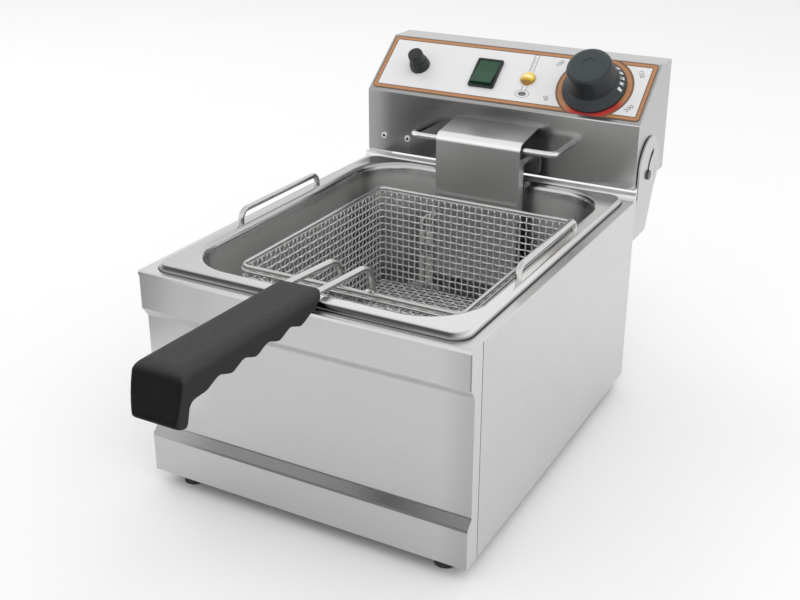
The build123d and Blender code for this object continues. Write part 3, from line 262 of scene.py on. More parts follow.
def grey(level):
    """Neutral grey."""
    return level, level, level


def steel(level):
    """Stainless grey, a trace warmer than neutral."""
    return level, level, level * STEEL_WARMTH


def about_zero(noise, spread):
    """Noise as an offset to both sides of nothing."""
    return (noise - 0.5) * spread


def within(value, span):
    """1 between the ends of a span, 0 outside it."""
    low, high = span
    return (value > low) * (value < high)


def length_of(x, y):
    """Length of a flat vector."""
    return (x * x + y * y).math("SQRT")


def outline_distance(x, y, half_x, half_y, corner):
    """Signed distance to a rounded rectangle's outline, negative inside it."""
    past_x = abs(x) - (half_x - corner)
    past_y = abs(y) - (half_y - corner)
    beyond = length_of(past_x.math("MAXIMUM", 0.0), past_y.math("MAXIMUM", 0.0))
    inner = past_x.math("MAXIMUM", past_y).math("MINIMUM", 0.0)
    return beyond + inner - corner


# Stainless sheet

GRIND_ALONG = 0.012
GRIND_CROSS = 2.6
GRIND_SPAN = (0.3, 0.7)
GRIND_DARK = 0.1
GRIND_GLOSS = 0.16
GRIND_DEPTH = 0.00002
HANDLING_SCALE = 0.018
HANDLING_GLOSS = 0.1
SHEET_ROUGHNESS = 0.3


def brushed_sheet(name, level, along, roughness=SHEET_ROUGHNESS, streaks=1.0):
    """Stainless sheet with fine grinding lines along one direction and faint handling marks."""
    finish = Finish(name)
    lines = finish.grain([GRIND_ALONG if axis == along else GRIND_CROSS for axis in "xyz"])
    handling = finish.cloud(HANDLING_SCALE)
    bright = steel(level)
    dark = tuple(channel * (1 - GRIND_DARK * streaks) for channel in bright)
    gloss = about_zero(lines, GRIND_GLOSS * streaks) + about_zero(handling, HANDLING_GLOSS)
    finish.give(
        base_color=finish.blend(finish.grade(lines, *GRIND_SPAN), dark, bright),
        metallic=1.0,
        roughness=roughness + gloss,
    )
    return finish.relief(lines, GRIND_DEPTH * streaks, strength=0.5)


# Front panel: its two bevels, with painted reflections and painted shade on its ends and edges

CABINET_HALF = 140.0
PANEL_TOP = 185.8
LOWER_BEVEL = (43.2, 52.6)
LOWER_SLOPE = (0.05, 5.95)
UPPER_BEVEL = (147.0, 155.5)
# Painted reflection: the front's far left end paled above the foot band
END_REFLECTION = Tone((-75.0, -CABINET_HALF), 1.0, 0.82)
END_REFLECTION_HEIGHTS = (50.0, 110.0)
END_REFLECTION_SHARES = (-0.2, 1.0)
# Painted shade darkening the face towards its right edge, and a painted shadow line in the crease at the
# recess step
RIGHT_EDGE_SHADE = Tone((112.0, CABINET_HALF - 1.0), 0.55, 0.36)
RIGHT_CREASE_SHADE = Tone((CABINET_HALF - 2.0, CABINET_HALF - 0.7), 0.6, 0.16)
# Painted shadow line just under the panel's top edge
TOP_EDGE_SHADE = Tone((PANEL_TOP - 1.8, PANEL_TOP - 0.8), 0.5, 0.25)
# Upper bevel: a painted reflection, darker at its far end and in its middle, with painted highlights along its
# edges
UPPER_FAR_REFLECTION = 0.5
UPPER_MIDDLE_REFLECTION = 0.74
UPPER_EDGE_HIGHLIGHT = Tone((0.2, 1.0), 1.0, 0.97)
UPPER_NEAR = (-120.0, 20.0)
# Lower bevel: a dark painted reflection over grinding grain, paler towards its left end
LOWER_GRIND = (0.5, 1.0, 2.0)
LOWER_FLAT_REFLECTION = (0.15, 0.23)
LOWER_SLOPED_REFLECTION = (0.22, 0.33)
LOWER_LEFT_END = (-132.0, -70.0)
LOWER_LEFT_SHARES = (0.35, 1.0)
# Painted light: the panel's side cheeks paled to the grey of the lit side panels
CHEEK_SKIN = 0.1
LIT_CHEEK = 0.66


def front_sheet(name, level):
    """Brushed front panel with painted light: a painted reflection paling its far end, painted shade along its
    right edge and top, a painted reflection on the upper bevel, a dark painted reflection on the lower one,
    and cheeks painted paler as lit.
    """
    finish = brushed_sheet(name, level, along="x", streaks=0.45)
    across, depth, height = finish.axes()
    # Painted reflection paling the far left end
    finish.shade(across, END_REFLECTION, finish.grade(height, *END_REFLECTION_HEIGHTS, *END_REFLECTION_SHARES, True))
    # Painted shade towards the right edge and a painted shadow line in its crease
    finish.shade(across, RIGHT_EDGE_SHADE)
    finish.shade(across, RIGHT_CREASE_SHADE, height > UPPER_BEVEL[0])
    # Painted shadow line under the top edge
    finish.shade(height, TOP_EDGE_SHADE)
    # Painted reflection over the upper bevel, with painted highlights along its edges
    low, high = UPPER_BEVEL
    half = (high - low) / 2
    from_middle = abs(height - (low + half)) / half
    bevel_reflection = finish.toned(steel(UPPER_MIDDLE_REFLECTION), from_middle, UPPER_EDGE_HIGHLIGHT)
    upper_reflection = finish.blend(finish.fade(across, UPPER_NEAR), steel(UPPER_FAR_REFLECTION), bevel_reflection)
    finish.paint(within(height, UPPER_BEVEL), upper_reflection)
    # Dark painted reflection on the lower bevel, over grinding grain
    grind = finish.grain(LOWER_GRIND, scale=0.8)
    flat = finish.blend(grind, *map(steel, LOWER_FLAT_REFLECTION))
    sloped = finish.blend(grind, *map(steel, LOWER_SLOPED_REFLECTION))
    lower = finish.blend(within(depth, LOWER_SLOPE), flat, sloped)
    left_end = finish.grade(across, *LOWER_LEFT_END, *LOWER_LEFT_SHARES, True)
    finish.paint(within(height, LOWER_BEVEL) * left_end, lower)
    # Painted light on the side cheeks
    return finish.paint(abs(across) > CABINET_HALF - CHEEK_SKIN, steel(LIT_CHEEK))


# Tank: flange plate, inner wall, and the turned-down lip along the front, with painted light, shade and
# reflections

FLANGE_HALF = (132.0, 165.5)
FLANGE_MIDDLE = 170.5
FLANGE_CORNER = 14.0
FLANGE_ROLL = 4.4
FLANGE_TOP = 192.0
FLANGE_SKIN = 0.2
PLATE = 0.57
# Flange plate: painted light towards the right, painted shade towards the rear, and dark painted shade over
# the rear flange
PLATE_RIGHT_LIGHT = Tone((-130.0, 60.0), 1.0, 0.78)
PLATE_REAR_SHADE = Tone((90.0, 240.0), 0.55, 0.52)
PLATE_SHADED = Tone((290.0, 316.0), 0.9, 0.1)
WALL = 0.76
WALL_HEIGHTS = (190.0, 176.0)
# Inner wall: painted light near the front and rear walls, painted shade deep down
WALL_ENDS_LIGHT = Tone((95.0, 140.0), 1.0, 0.92)
WALL_DEEP_SHADE = Tone((168.0, 130.0), 1.0, 0.46)
# Lip: painted reflections, dark under the rolled edge and a dark band over a paler line along the front
LIP_UNDER_REFLECTION = Tone((FLANGE_TOP - 1.4, FLANGE_TOP - 4.4), 1.0, 0.24)
LIP_RIGHT_END = (131.0, 119.0)
LIP_LEFT_END = (-127.0, -121.0)
LIP_DEPTHS = (10.0, 16.0)
LIP_LOW = (FLANGE_TOP - 3.8, FLANGE_TOP - 2.2)
LIP_HIGH = (FLANGE_TOP - 0.7, FLANGE_TOP - 0.25)
LIP_PALE_REFLECTION = 0.36
LIP_DARK_REFLECTION = 0.09
PAN_GRAIN = (1.5, 1.5, 0.25)
PAN_ROUGHNESS = 0.18
WALL_MATT = 0.14
GRAIN_GLOSS = 0.14


def flange_edge(finish):
    """Signed distance to the tank flange's outline."""
    across, depth, _ = finish.axes()
    return outline_distance(across, depth - FLANGE_MIDDLE, *FLANGE_HALF, FLANGE_CORNER)


def drawn_pan(name):
    """Satin pan: even matt grain inside and a polished rim, with painted light and shade on its plate and
    wall, and painted reflections of the dark front on its lip.
    """
    finish = Finish(name)
    across, depth, height = finish.axes()
    grain = finish.grain(PAN_GRAIN)
    clouds = finish.cloud(scale=0.02)
    # Painted light to the right, painted shade to the rear and over the rear flange
    plate = finish.toned(steel(PLATE), across, PLATE_RIGHT_LIGHT)
    plate = finish.toned(plate, depth, PLATE_REAR_SHADE)
    plate = finish.toned(plate, depth, PLATE_SHADED, height > FLANGE_TOP - FLANGE_SKIN)
    # Painted light near the tank's ends and painted shade deep inside it
    wall = finish.toned(steel(WALL), abs(depth - FLANGE_MIDDLE), WALL_ENDS_LIGHT)
    wall = finish.toned(wall, height, WALL_DEEP_SHADE)
    inside = finish.fade(height, WALL_HEIGHTS)
    rolled = flange_edge(finish) > -FLANGE_ROLL
    # Dark painted reflection under the rolled edge
    color = finish.toned(finish.blend(inside, plate, wall), height, LIP_UNDER_REFLECTION, rolled)
    straight = finish.fade(across, LIP_RIGHT_END) * finish.grade(across, *LIP_LEFT_END)
    front = rolled * straight * finish.grade(depth, *LIP_DEPTHS, 1.0, 0.0)
    # Painted reflection on the front lip: a dark band over a paler line
    lip_reflection = finish.blend(finish.grade(height, *LIP_LOW), steel(LIP_PALE_REFLECTION), steel(LIP_DARK_REFLECTION))
    lip_reflection = finish.blend(finish.grade(height, *LIP_HIGH), lip_reflection, plate)
    gloss = about_zero(grain, GRAIN_GLOSS) + about_zero(clouds, HANDLING_GLOSS)
    finish.give(
        base_color=finish.blend(front, color, lip_reflection),
        metallic=1.0,
        roughness=PAN_ROUGHNESS + inside * WALL_MATT + gloss,
    )
    return finish.relief(grain, GRIND_DEPTH, strength=0.4)


# Guard, head and deck: sheet with painted highlights, reflections, shade and shadow on their bends, faces and
# edges

# Guard: a painted highlight along its bend and painted shade on its top
GUARD_BEND_HIGHLIGHT = Tone((227.0, 229.5), 1.0, 0.99)
GUARD_TOP_SHADE = Tone((306.0, 310.0), 1.0, 0.5)
# Head face: a painted reflection, dim over its left and middle and pale to the right
HEAD_FACE = 0.40
HEAD_FACE_DIM = Tone((-132.0, -108.0), 1.0, 0.23)
HEAD_FACE_LIT = Tone((0.0, 110.0), 1.0, 0.80)
HEAD_FACE_SKIN = 1.0
# Deck: a painted reflection on the upstand, painted light towards the front, and a painted shadow line around
# the flange
DECK_UPSTAND_REFLECTION = Tone((334.0, 337.0), 1.0, 0.86)
DECK_FRONT_LIGHT = Tone((230.0, 40.0), 0.9, 0.72)
DECK_CONTACT_SHADOW = Tone((1.5, 0.3), 1.0, 0.06)


def guard_sheet(name):
    """Guard with a painted highlight along its bend and painted shade on its top."""
    finish = brushed_sheet(name, level=0.62, along="x", roughness=0.34, streaks=0.8)
    _, depth, height = finish.axes()
    # Painted highlight along the bend, then painted shade on the top
    finish.shade(height, GUARD_BEND_HIGHLIGHT)
    return finish.shade(depth, GUARD_TOP_SHADE)


def head_sheet(name):
    """Brushed head shell whose face carries a painted reflection of the dim room, darker to the left than to
    the right.
    """
    finish = brushed_sheet(name, level=0.49, along="x", roughness=0.2)
    across, depth, height = finish.axes()
    face = (depth < FACE_DEPTH + HEAD_FACE_SKIN) * (height < SLOPE_FOOT)
    # Painted reflection across the head's face
    face_tone = finish.toned(steel(HEAD_FACE), across, HEAD_FACE_DIM)
    return finish.paint(face, finish.toned(face_tone, across, HEAD_FACE_LIT))


def deck_sheet(name):
    """Deck with a painted reflection brightening the upstand along its rear, painted light along its front,
    and a painted shadow line around the tank's flange.
    """
    finish = brushed_sheet(name, level=0.54, along="y")
    _, depth, _ = finish.axes()
    # Painted reflection on the upstand, painted light at the front, painted shadow around the flange
    finish.shade(depth, DECK_UPSTAND_REFLECTION)
    finish.shade(depth, DECK_FRONT_LIGHT)
    return finish.shade(flange_edge(finish), DECK_CONTACT_SHADOW)


# Wire, pins and rivets

WIRE_COLOR = (0.72, 0.72, 0.71)
PALE_WIRE = (0.97, 0.97, 0.96)
WIRE_DULL = 0.86
WIRE_SPOTS = (0.35, 0.75)
WIRE_SPOT_MATT = 0.14
BULB_COLOR = (0.96, 0.95, 0.92)
SCREW_COLOR = (0.55, 0.55, 0.54)
PIN_DARK = 0.13
BAR_COLOR = (0.92, 0.92, 0.91)
# Painted reflection of the dim head on the bar's arms
BAR_ARMS_REFLECTION = Tone((310.5, 315.5), 0.9, 0.2)
# Rivet bores: painted shade inside each bore
RIVET_PLACES = ((-120.0, 211.0), (-94.0, 211.0))
RIVET_BORE = 1.45
RIVET_BORE_SHADE = 0.006


def bright_wire(name, color=WIRE_COLOR, roughness=0.14):
    """Polished wire with faint draw lines and dull spots."""
    finish = Finish(name)
    specks = finish.cloud(scale=0.35, detail=3.0, rough=0.6)
    dull = tuple(channel * WIRE_DULL for channel in color)
    finish.give(
        base_color=finish.blend(specks, dull, color),
        metallic=1.0,
        roughness=roughness + finish.grade(specks, *WIRE_SPOTS, 0.0, WIRE_SPOT_MATT),
    )
    return finish.relief(specks, distance=0.00003, strength=0.3)


def bar_wire(name):
    """Hanger bar with a bright front run and arms that carry a painted reflection of the dim head."""
    finish = bright_wire(name, BAR_COLOR)
    _, depth, _ = finish.axes()
    # Painted reflection darkening the arms
    return finish.shade(depth, BAR_ARMS_REFLECTION)


def rivet_steel(name):
    """Blind rivets: bright turned heads around painted shade in the bore."""
    finish = bright_wire(name, PALE_WIRE, roughness=0.55)
    across, _, height = finish.axes()
    for rivet_x, rivet_height in RIVET_PLACES:
        # Painted shade in the rivet's bore
        bore_shade = length_of(across - rivet_x, height - rivet_height) < RIVET_BORE
        finish.paint(bore_shade, grey(RIVET_BORE_SHADE))
    return finish


# Moulded plastics

PIT_GLOSS = 0.2
WEAR_SCALE = 0.03
WEAR_SPAN = (0.35, 0.75)
WEAR_GLOSS = 0.12
WEAR_GAIN = 1.35
WEAR_LIFT = 0.004
GRIP_BLACK = 0.004
# Grip: right side paled as painted light; top paled as painted light mixed with mottled wear
GRIP_LIT_SIDE = 0.032
GRIP_TOP_WEAR_AND_LIGHT = (0.034, 0.075)
GRIP_SIDE = (0.15, 0.8)
GRIP_CROWN = (0.1, 0.95)
SWIRL_GAIN = 1.4
SWIRL_LIFT = 0.01
SWIRL_GLOSS = 0.08
CAP_BLACK = (0.012, 0.015, 0.015)
RUBBER_BLACK = 0.02
INSULATOR_CREAM = (0.62, 0.60, 0.54)
BUTTON_RED = (0.5, 0.03, 0.02)
ROCKER_GREEN = (0.002, 0.046, 0.018)


def moulded(name, color, roughness, grain=0.9, lift=0.00004):
    """Moulded plastic with a fine eroded grain and slightly paler worn places."""
    finish = Finish(name)
    pits = finish.cloud(grain, detail=4.0, rough=0.65)
    wear = finish.cloud(WEAR_SCALE)
    pale = tuple(channel * WEAR_GAIN + WEAR_LIFT for channel in color)
    finish.give(
        base_color=finish.blend(finish.grade(wear, *WEAR_SPAN), color, pale),
        roughness=roughness + about_zero(pits, PIT_GLOSS) + about_zero(wear, WEAR_GLOSS),
    )
    return finish.relief(pits, lift, strength=0.6)


def grip_wear_and_light(name):
    """Black moulded grip with a fine grain; its right side paler as painted light, its top paler as painted
    light mixed with mottled wear.
    """
    finish = moulded(name, grey(GRIP_BLACK), roughness=0.52, grain=0.75, lift=0.00006)
    facing = finish.node("ShaderNodeTexCoord", out="Normal")
    side, up = finish.node("ShaderNodeSeparateXYZ", None, [facing], out=("X", "Z"))
    # Painted light on the right side, then painted light with mottled wear on the top
    finish.paint(finish.fade(side, GRIP_SIDE), grey(GRIP_LIT_SIDE))
    top_wear_and_light = finish.blend(finish.cloud(scale=0.5, detail=4.0, rough=0.7), *map(grey, GRIP_TOP_WEAR_AND_LIGHT))
    return finish.paint(finish.fade(up, GRIP_CROWN), top_wear_and_light).give(specular_ior_level=0.06)


def clear_plastic(name, color, roughness, coat):
    """Tinted translucent plastic: glossy skin with faint moulding swirls."""
    finish = Finish(name)
    swirl = finish.cloud(scale=0.18)
    pale = tuple(min(1.0, channel * SWIRL_GAIN + SWIRL_LIFT) for channel in color)
    finish.give(
        base_color=finish.blend(swirl, color, pale),
        roughness=roughness + about_zero(swirl, SWIRL_GLOSS),
        coat_weight=coat,
        coat_roughness=0.08,
    )
    return finish.relief(swirl, distance=0.00004, strength=0.25)


# Sloped panel: printed film, knob and lamp, placed across and up the slope

FOIL_MIDDLE = 36.55
FOIL_HALF = (135.6, 32.55)
FOIL_CORNER = 4.0
FOIL_ROUGHNESS = 0.36
FOIL_GLOSS = 0.1
FOIL_COAT = 0.12
FOIL_PAPER = ((0.72, 0.72, 0.73), (0.80, 0.80, 0.80))
FOIL_ORANGE = ((0.42, 0.18, 0.07), (0.52, 0.25, 0.11))
BAND_WIDTH = 4.3
BAND_LINE = 1.0
BAND_BROWN = (0.17, 0.10, 0.055)
RING_OUTER = 35.2
RING_BROWN = (0.2, 0.1, 0.05)
RING_RED = (0.50, 0.042, 0.034)
RED_LEAN = 0.3
RED_SPAN = (-0.55, -0.85)
KNOB_COLOR = (0.013, 0.019, 0.023)
# Painted light: the knob's top paler than its sides
KNOB_TOP_LIGHT = (0.034, 0.046, 0.048)
KNOB_TOP = 32.4
SKIRT_TOP = 9.6
MARK_RADII = (24.6, 27.9)
MARK_TURNS = (-14.0, 56.0)
MARK_STEP = 14.0
MARK_WIDTH = 0.5
MARK_WHITE = (0.62, 0.64, 0.63)
MARK_INKED = 0.4
LENS_RADIUS = 7.2
LENS_AMBER = (0.80, 0.50, 0.014)
# Lens: painted shade at its foot and rim, painted light on its crown, and a painted highlight streak
LENS_FOOT_SHADE = (0.30, 0.12, 0.003)
LENS_CROWN_LIGHT = (0.95, 0.66, 0.03)
LENS_RIM_SHADE = (0.42, 0.2, 0.004)
LENS_FOOT = (-0.1, -0.75)
LENS_CROWN = (0.15, 0.7)
LENS_CROWN_MOST = 0.7
LENS_RIM = (0.82, 1.0)
LENS_RIM_MOST = 0.8
STREAK_MIDDLE = (0.1, 0.05)
STREAK_ENDS = (0.75, 0.35)
STREAK_EDGES = (0.3, 0.1)
STREAK_HIGHLIGHT = (1.0, 0.93, 0.52)
INK_DARK = (0.10, 0.11, 0.12)
INK_PALE = (0.2, 0.21, 0.22)


def panel_place(finish, middle_x=0.0, middle_rise=0.0):
    """Across and up-slope millimetres on the sloped panel, from a middle."""
    across, depth, height = finish.axes()
    rise = (depth - FACE_DEPTH) * math.cos(SLOPE) + (height - SLOPE_FOOT) * math.sin(SLOPE)
    return across - middle_x, rise - middle_rise


def panel_lift(finish):
    """Millimetres off the sloped panel."""
    _, depth, height = finish.axes()
    return (height - SLOPE_FOOT) * math.cos(SLOPE) - (depth - FACE_DEPTH) * math.sin(SLOPE)


def printed_foil(name):
    """White film with an orange border, and an orange ring around the knob, red low on its right."""
    finish = Finish(name)
    across, rise = panel_place(finish)
    fibres = finish.noise(finish.vector(across, rise, 0.0), scale=0.6, detail=3.0, rough=0.6)
    paper = finish.blend(fibres, *FOIL_PAPER)
    orange = finish.blend(fibres, *FOIL_ORANGE)
    edge = outline_distance(across, rise - FOIL_MIDDLE, *FOIL_HALF, FOIL_CORNER)
    band_edge = (abs(edge + BAND_WIDTH) < BAND_LINE / 2).math("MAXIMUM", edge > -BAND_LINE)
    color = finish.blend(edge > -BAND_WIDTH, paper, orange)
    color = finish.blend(band_edge, color, BAND_BROWN)
    from_x, from_y = panel_place(finish, KNOB_X, CONTROL_LINE)
    radius = length_of(from_x, from_y)
    low = finish.fade((from_y - from_x * RED_LEAN) / radius, RED_SPAN)
    color = finish.blend(radius < RING_OUTER, color, finish.blend(low, orange, RING_RED))
    color = finish.blend(abs(radius - RING_OUTER) < BAND_LINE, color, RING_BROWN)
    roughness = FOIL_ROUGHNESS + about_zero(fibres, FOIL_GLOSS)
    finish.give(base_color=color, roughness=roughness, coat_weight=FOIL_COAT)
    return finish.relief(fibres, distance=0.00001, strength=0.3)


def knob_plastic(name):
    """Dark moulded plastic with white graduation marks printed on the knob's skirt, and the knob's top paler
    as painted light.
    """
    finish = moulded(name, KNOB_COLOR, roughness=0.42, lift=0.00003)
    lift = panel_lift(finish)
    from_x, from_y = panel_place(finish, KNOB_X, CONTROL_LINE)
    turn = from_y.math("ARCTAN2", from_x) * (180 / math.pi)
    tick = abs((turn / MARK_STEP).math("FRACT") - 0.5) < MARK_WIDTH / 2
    across, rise = panel_place(finish)
    inked = finish.noise(finish.vector(across, rise, 0.0), scale=0.55, detail=1.0, rough=0.4) > MARK_INKED
    on_skirt = within(length_of(from_x, from_y), MARK_RADII) * (lift < SKIRT_TOP)
    marks = tick * within(turn, MARK_TURNS) * on_skirt * inked
    # Painted light on the knob's top
    finish.paint(lift > KNOB_TOP, KNOB_TOP_LIGHT)
    return finish.paint(marks, MARK_WHITE)


def amber_lens(name):
    """Domed amber lens: painted shade brown at its lower edge and rim, painted light yellow above, and a
    painted highlight streak across it.
    """
    finish = clear_plastic(name, LENS_AMBER, roughness=0.12, coat=0.6)
    from_x, from_y = (place / LENS_RADIUS for place in panel_place(finish, LAMP_X, CONTROL_LINE))
    # Painted shade low on the lens, painted light above, a painted highlight streak, and painted shade at the
    # rim
    finish.paint(finish.fade(from_y, LENS_FOOT), LENS_FOOT_SHADE)
    finish.paint(finish.fade(from_y, LENS_CROWN, LENS_CROWN_MOST), LENS_CROWN_LIGHT)
    along = finish.fade(abs(from_x - STREAK_MIDDLE[0]), STREAK_ENDS)
    finish.paint(finish.fade(abs(from_y - STREAK_MIDDLE[1]), STREAK_EDGES) * along, STREAK_HIGHLIGHT)
    return finish.paint(finish.fade(length_of(from_x, from_y), LENS_RIM, LENS_RIM_MOST), LENS_RIM_SHADE)


def printing_ink(name):
    """Dark print, a little uneven."""
    finish = Finish(name)
    uneven = finish.blend(finish.cloud(scale=1.2), INK_DARK, INK_PALE)
    return finish.give(base_color=uneven, roughness=0.45)


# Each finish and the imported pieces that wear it

dressed = (
    (front_sheet("front_sheet", level=0.56), ["front_panel"]),
    (
        brushed_sheet("sheet_across", level=0.58, along="x"),
        ["rear_panel", "head_back_cover", "element_plate", "terminal_bracket", "head_floor"],
    ),
    (head_sheet("head_sheet"), ["head_shell"]),
    # Side panels: a paler copy of the sheet steel, as painted light on the sides
    (
        brushed_sheet("lit_side_sheet", level=0.66, along="y"),
        ["left_side_panel", "right_side_panel"],
    ),
    (deck_sheet("deck_sheet"), ["deck", "base_plate"]),
    (
        brushed_sheet("sheet_up", level=0.60, along="z"),
        ["left_hinge_bracket", "right_hinge_bracket", "bulb_clip"],
    ),
    (guard_sheet("guard_sheet"), ["element_guard"]),
    (drawn_pan("pan"), ["tank"]),
    (
        bright_wire("wire"),
        [
            "left_tank_handle", "right_tank_handle", "basket_rim", "basket_lower_wire", "handle_wire",
            "handle_hinge",
        ],
    ),
    (bar_wire("bar_wire"), ["hanger_bar"]),
    (
        bright_wire("mesh_wire", PALE_WIRE, roughness=0.28).give(metallic=0.72),
        [f"basket_{side}_mesh" for side in ("front", "rear", "left", "right", "floor")],
    ),
    (
        bright_wire("screw_steel", SCREW_COLOR, roughness=0.25),
        ["foot_screws", "foot_nuts", "bracket_screws", "cover_screws", "pivot_pins", "thermostat_shaft"],
    ),
    (bright_wire("dark_pin", grey(PIN_DARK), roughness=0.35), ["guide_pins"]),
    (rivet_steel("rivet"), ["blind_rivets"]),
    (
        brushed_sheet("tube", level=0.48, along="y", roughness=0.4, streaks=0.6),
        ["heating_element", "element_brace"],
    ),
    (
        bright_wire("bulb", BULB_COLOR, roughness=0.36).give(metallic=0.45),
        ["thermostat_bulb", "limiter_bulb", "capillary_tubes"],
    ),
    (printed_foil("foil"), ["control_fascia"]),
    (knob_plastic("knob"), ["thermostat_knob"]),
    (grip_wear_and_light("grip"), ["handle_grip"]),
    (moulded("black", CAP_BLACK, roughness=0.44), ["reset_cap", "switch_housing", "cable_gland"]),
    (
        moulded("insulator", INSULATOR_CREAM, roughness=0.5),
        ["thermostat_body", "limiter_body", "lamp_body", "terminal_block"],
    ),
    (clear_plastic("red_button", BUTTON_RED, roughness=0.25, coat=0.4), ["reset_button"]),
    (clear_plastic("green_rocker", ROCKER_GREEN, roughness=0.3, coat=0.15), ["rocker"]),
    (amber_lens("amber_lens"), ["lamp_lens"]),
    (moulded("rubber", grey(RUBBER_BLACK), roughness=0.7, grain=0.5), ["rubber_feet"]),
    (printing_ink("ink"), []),
)
finishes = {finish.name: finish for finish, _ in dressed}


def dress_pieces():
    """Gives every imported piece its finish."""
    for finish, node_names in dressed:
        for node_name in node_names:
            materials = nodes[node_name].data.materials
            materials.clear()
            materials.append(finish.material)


def piece_from(name, shape, finish, body, slot, *stands_for, place=None):
    """Links a shape as a piece of the object, with its finish, body and the nodes it stands for. The slot is
    not used.
    """
    made = bpy.data.objects.new(name, shape)
    bpy.context.scene.collection.objects.link(made)
    if place is not None:
        made.matrix_world = place
    shape.materials.append(finishes[finish].material)
    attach(made, body)
    if stands_for:
        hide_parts(*stands_for)
    return made


def mesh_from(name, builder):
    """Mesh of what was built, which frees the builder."""
    mesh = bpy.data.meshes.new(name)
    builder.to_mesh(mesh)
    builder.free()
    return mesh


# Basket of woven wire: every strand runs over and under those that cross it

MESH_PITCH = 6.35
STRAND = 1.5
STRAND_SIDES = 6
BASKET_HALF = 97.8
BASKET_FRONT = 70.5
BASKET_REAR = 294.5
BASKET_FLOOR = 77.3
FLOOR_LIFT = 1.3
FLOOR_INSET = 0.6
WALL_TOP = 172.1
WALL_INSET = 0.8
WALL_END = 9.0
CORNER = 4.0
WEAVE = 0.75
SAME_SPOT = 1e-5


def strand_along(builder, points):
    """Adds a round strand through points to a mesh under construction."""
    rings = []
    normal = None
    for index, point in enumerate(points):
        ahead = points[min(index + 1, len(points) - 1)]
        behind = points[max(index - 1, 0)]
        tangent = (ahead - behind).normalized()
        if normal is None:
            normal = tangent.orthogonal().normalized()
        normal = (normal - tangent * normal.dot(tangent)).normalized()
        side = tangent.cross(normal)
        ring = []
        for step in range(STRAND_SIDES):
            turn = 2 * math.pi * step / STRAND_SIDES
            outward = normal * math.cos(turn) + side * math.sin(turn)
            ring.append(builder.verts.new(point + outward * (STRAND / 2 * MM)))
        rings.append(ring)
    for first, second in zip(rings, rings[1:]):
        for step in range(STRAND_SIDES):
            other = (step + 1) % STRAND_SIDES
            builder.faces.new((first[step], first[other], second[other], second[step]))
    builder.faces.new(list(reversed(rings[0])))
    builder.faces.new(rings[-1])


def crimp(half_step, strand):
    """Swing of a strand: to one side or the other at each crossing, level halfway between."""
    if half_step % 2:
        return 0.0
    return WEAVE * math.cos(math.pi * (half_step / 2 + strand))


def without_repeats(points):
    """Points of a strand, less those that lie on the one before."""
    kept = points[:1]
    for before, point in zip(points, points[1:]):
        if (point - before).length > SAME_SPOT:
            kept.append(point)
    return kept


def wall_line(end):
    """Plan of one wall, as (x, depth, outward x, outward depth) by distance along it, and its length."""
    if end in ("left", "right"):
        sign = -1 if end == "left" else 1
        length = BASKET_REAR - BASKET_FRONT - 2 * WALL_END

        def at(distance):
            return sign * BASKET_HALF, BASKET_FRONT + WALL_END + distance, sign, 0.0

        return at, length
    sign = -1 if end == "front" else 1
    depth = BASKET_FRONT if end == "front" else BASKET_REAR
    lead = WALL_END - CORNER
    arc = CORNER * math.pi / 2
    straight = 2 * (BASKET_HALF - CORNER)
    length = 2 * lead + 2 * arc + straight

    def at(distance):
        mirror = 1
        along = distance
        if along > length / 2:
            along = length - along
            mirror = -1
        if along < lead:
            x, inward, out_x, out_y = -BASKET_HALF, WALL_END - along, -1.0, 0.0
        elif along < lead + arc:
            turn = (along - lead) / CORNER
            x = -BASKET_HALF + CORNER - CORNER * math.cos(turn)
            inward = CORNER - CORNER * math.sin(turn)
            out_x, out_y = -math.cos(turn), math.sin(turn)
        else:
            x, inward, out_x, out_y = -BASKET_HALF + CORNER + along - lead - arc, 0.0, 0.0, 1.0
        return mirror * x, depth - sign * inward, mirror * out_x, sign * out_y

    return at, length


def weave_wall(end):
    """One wall: level wires along it and upright wires across them, crimped where they cross."""
    at, length = wall_line(end)
    columns = round(length / MESH_PITCH)
    rows = int((WALL_TOP - BASKET_FLOOR) // MESH_PITCH)
    column_pitch = length / columns
    row_pitch = (WALL_TOP - BASKET_FLOOR - 2 * WALL_INSET) / rows
    builder = bmesh.new()

    def point_at(half_column, half_row, out):
        x, depth, out_x, out_y = at(max(0.0, min(length, half_column * column_pitch / 2)))
        height = BASKET_FLOOR + WALL_INSET + half_row * row_pitch / 2
        return spot(x + out_x * out, depth + out_y * out, height)

    for row in range(rows + 1):
        points = [point_at(half, 2 * row, crimp(half, row)) for half in range(2 * columns + 1)]
        strand_along(builder, points)
    for column in range(columns):
        points = [point_at(2 * column, half, -crimp(half, column)) for half in range(2 * rows + 1)]
        strand_along(builder, points)
    mesh = mesh_from(f"woven_{end}", builder)
    mesh.shade_smooth()
    piece_from(f"woven_{end}", mesh, "mesh_wire", "basket", "basket_mesh", f"basket_{end}_mesh")


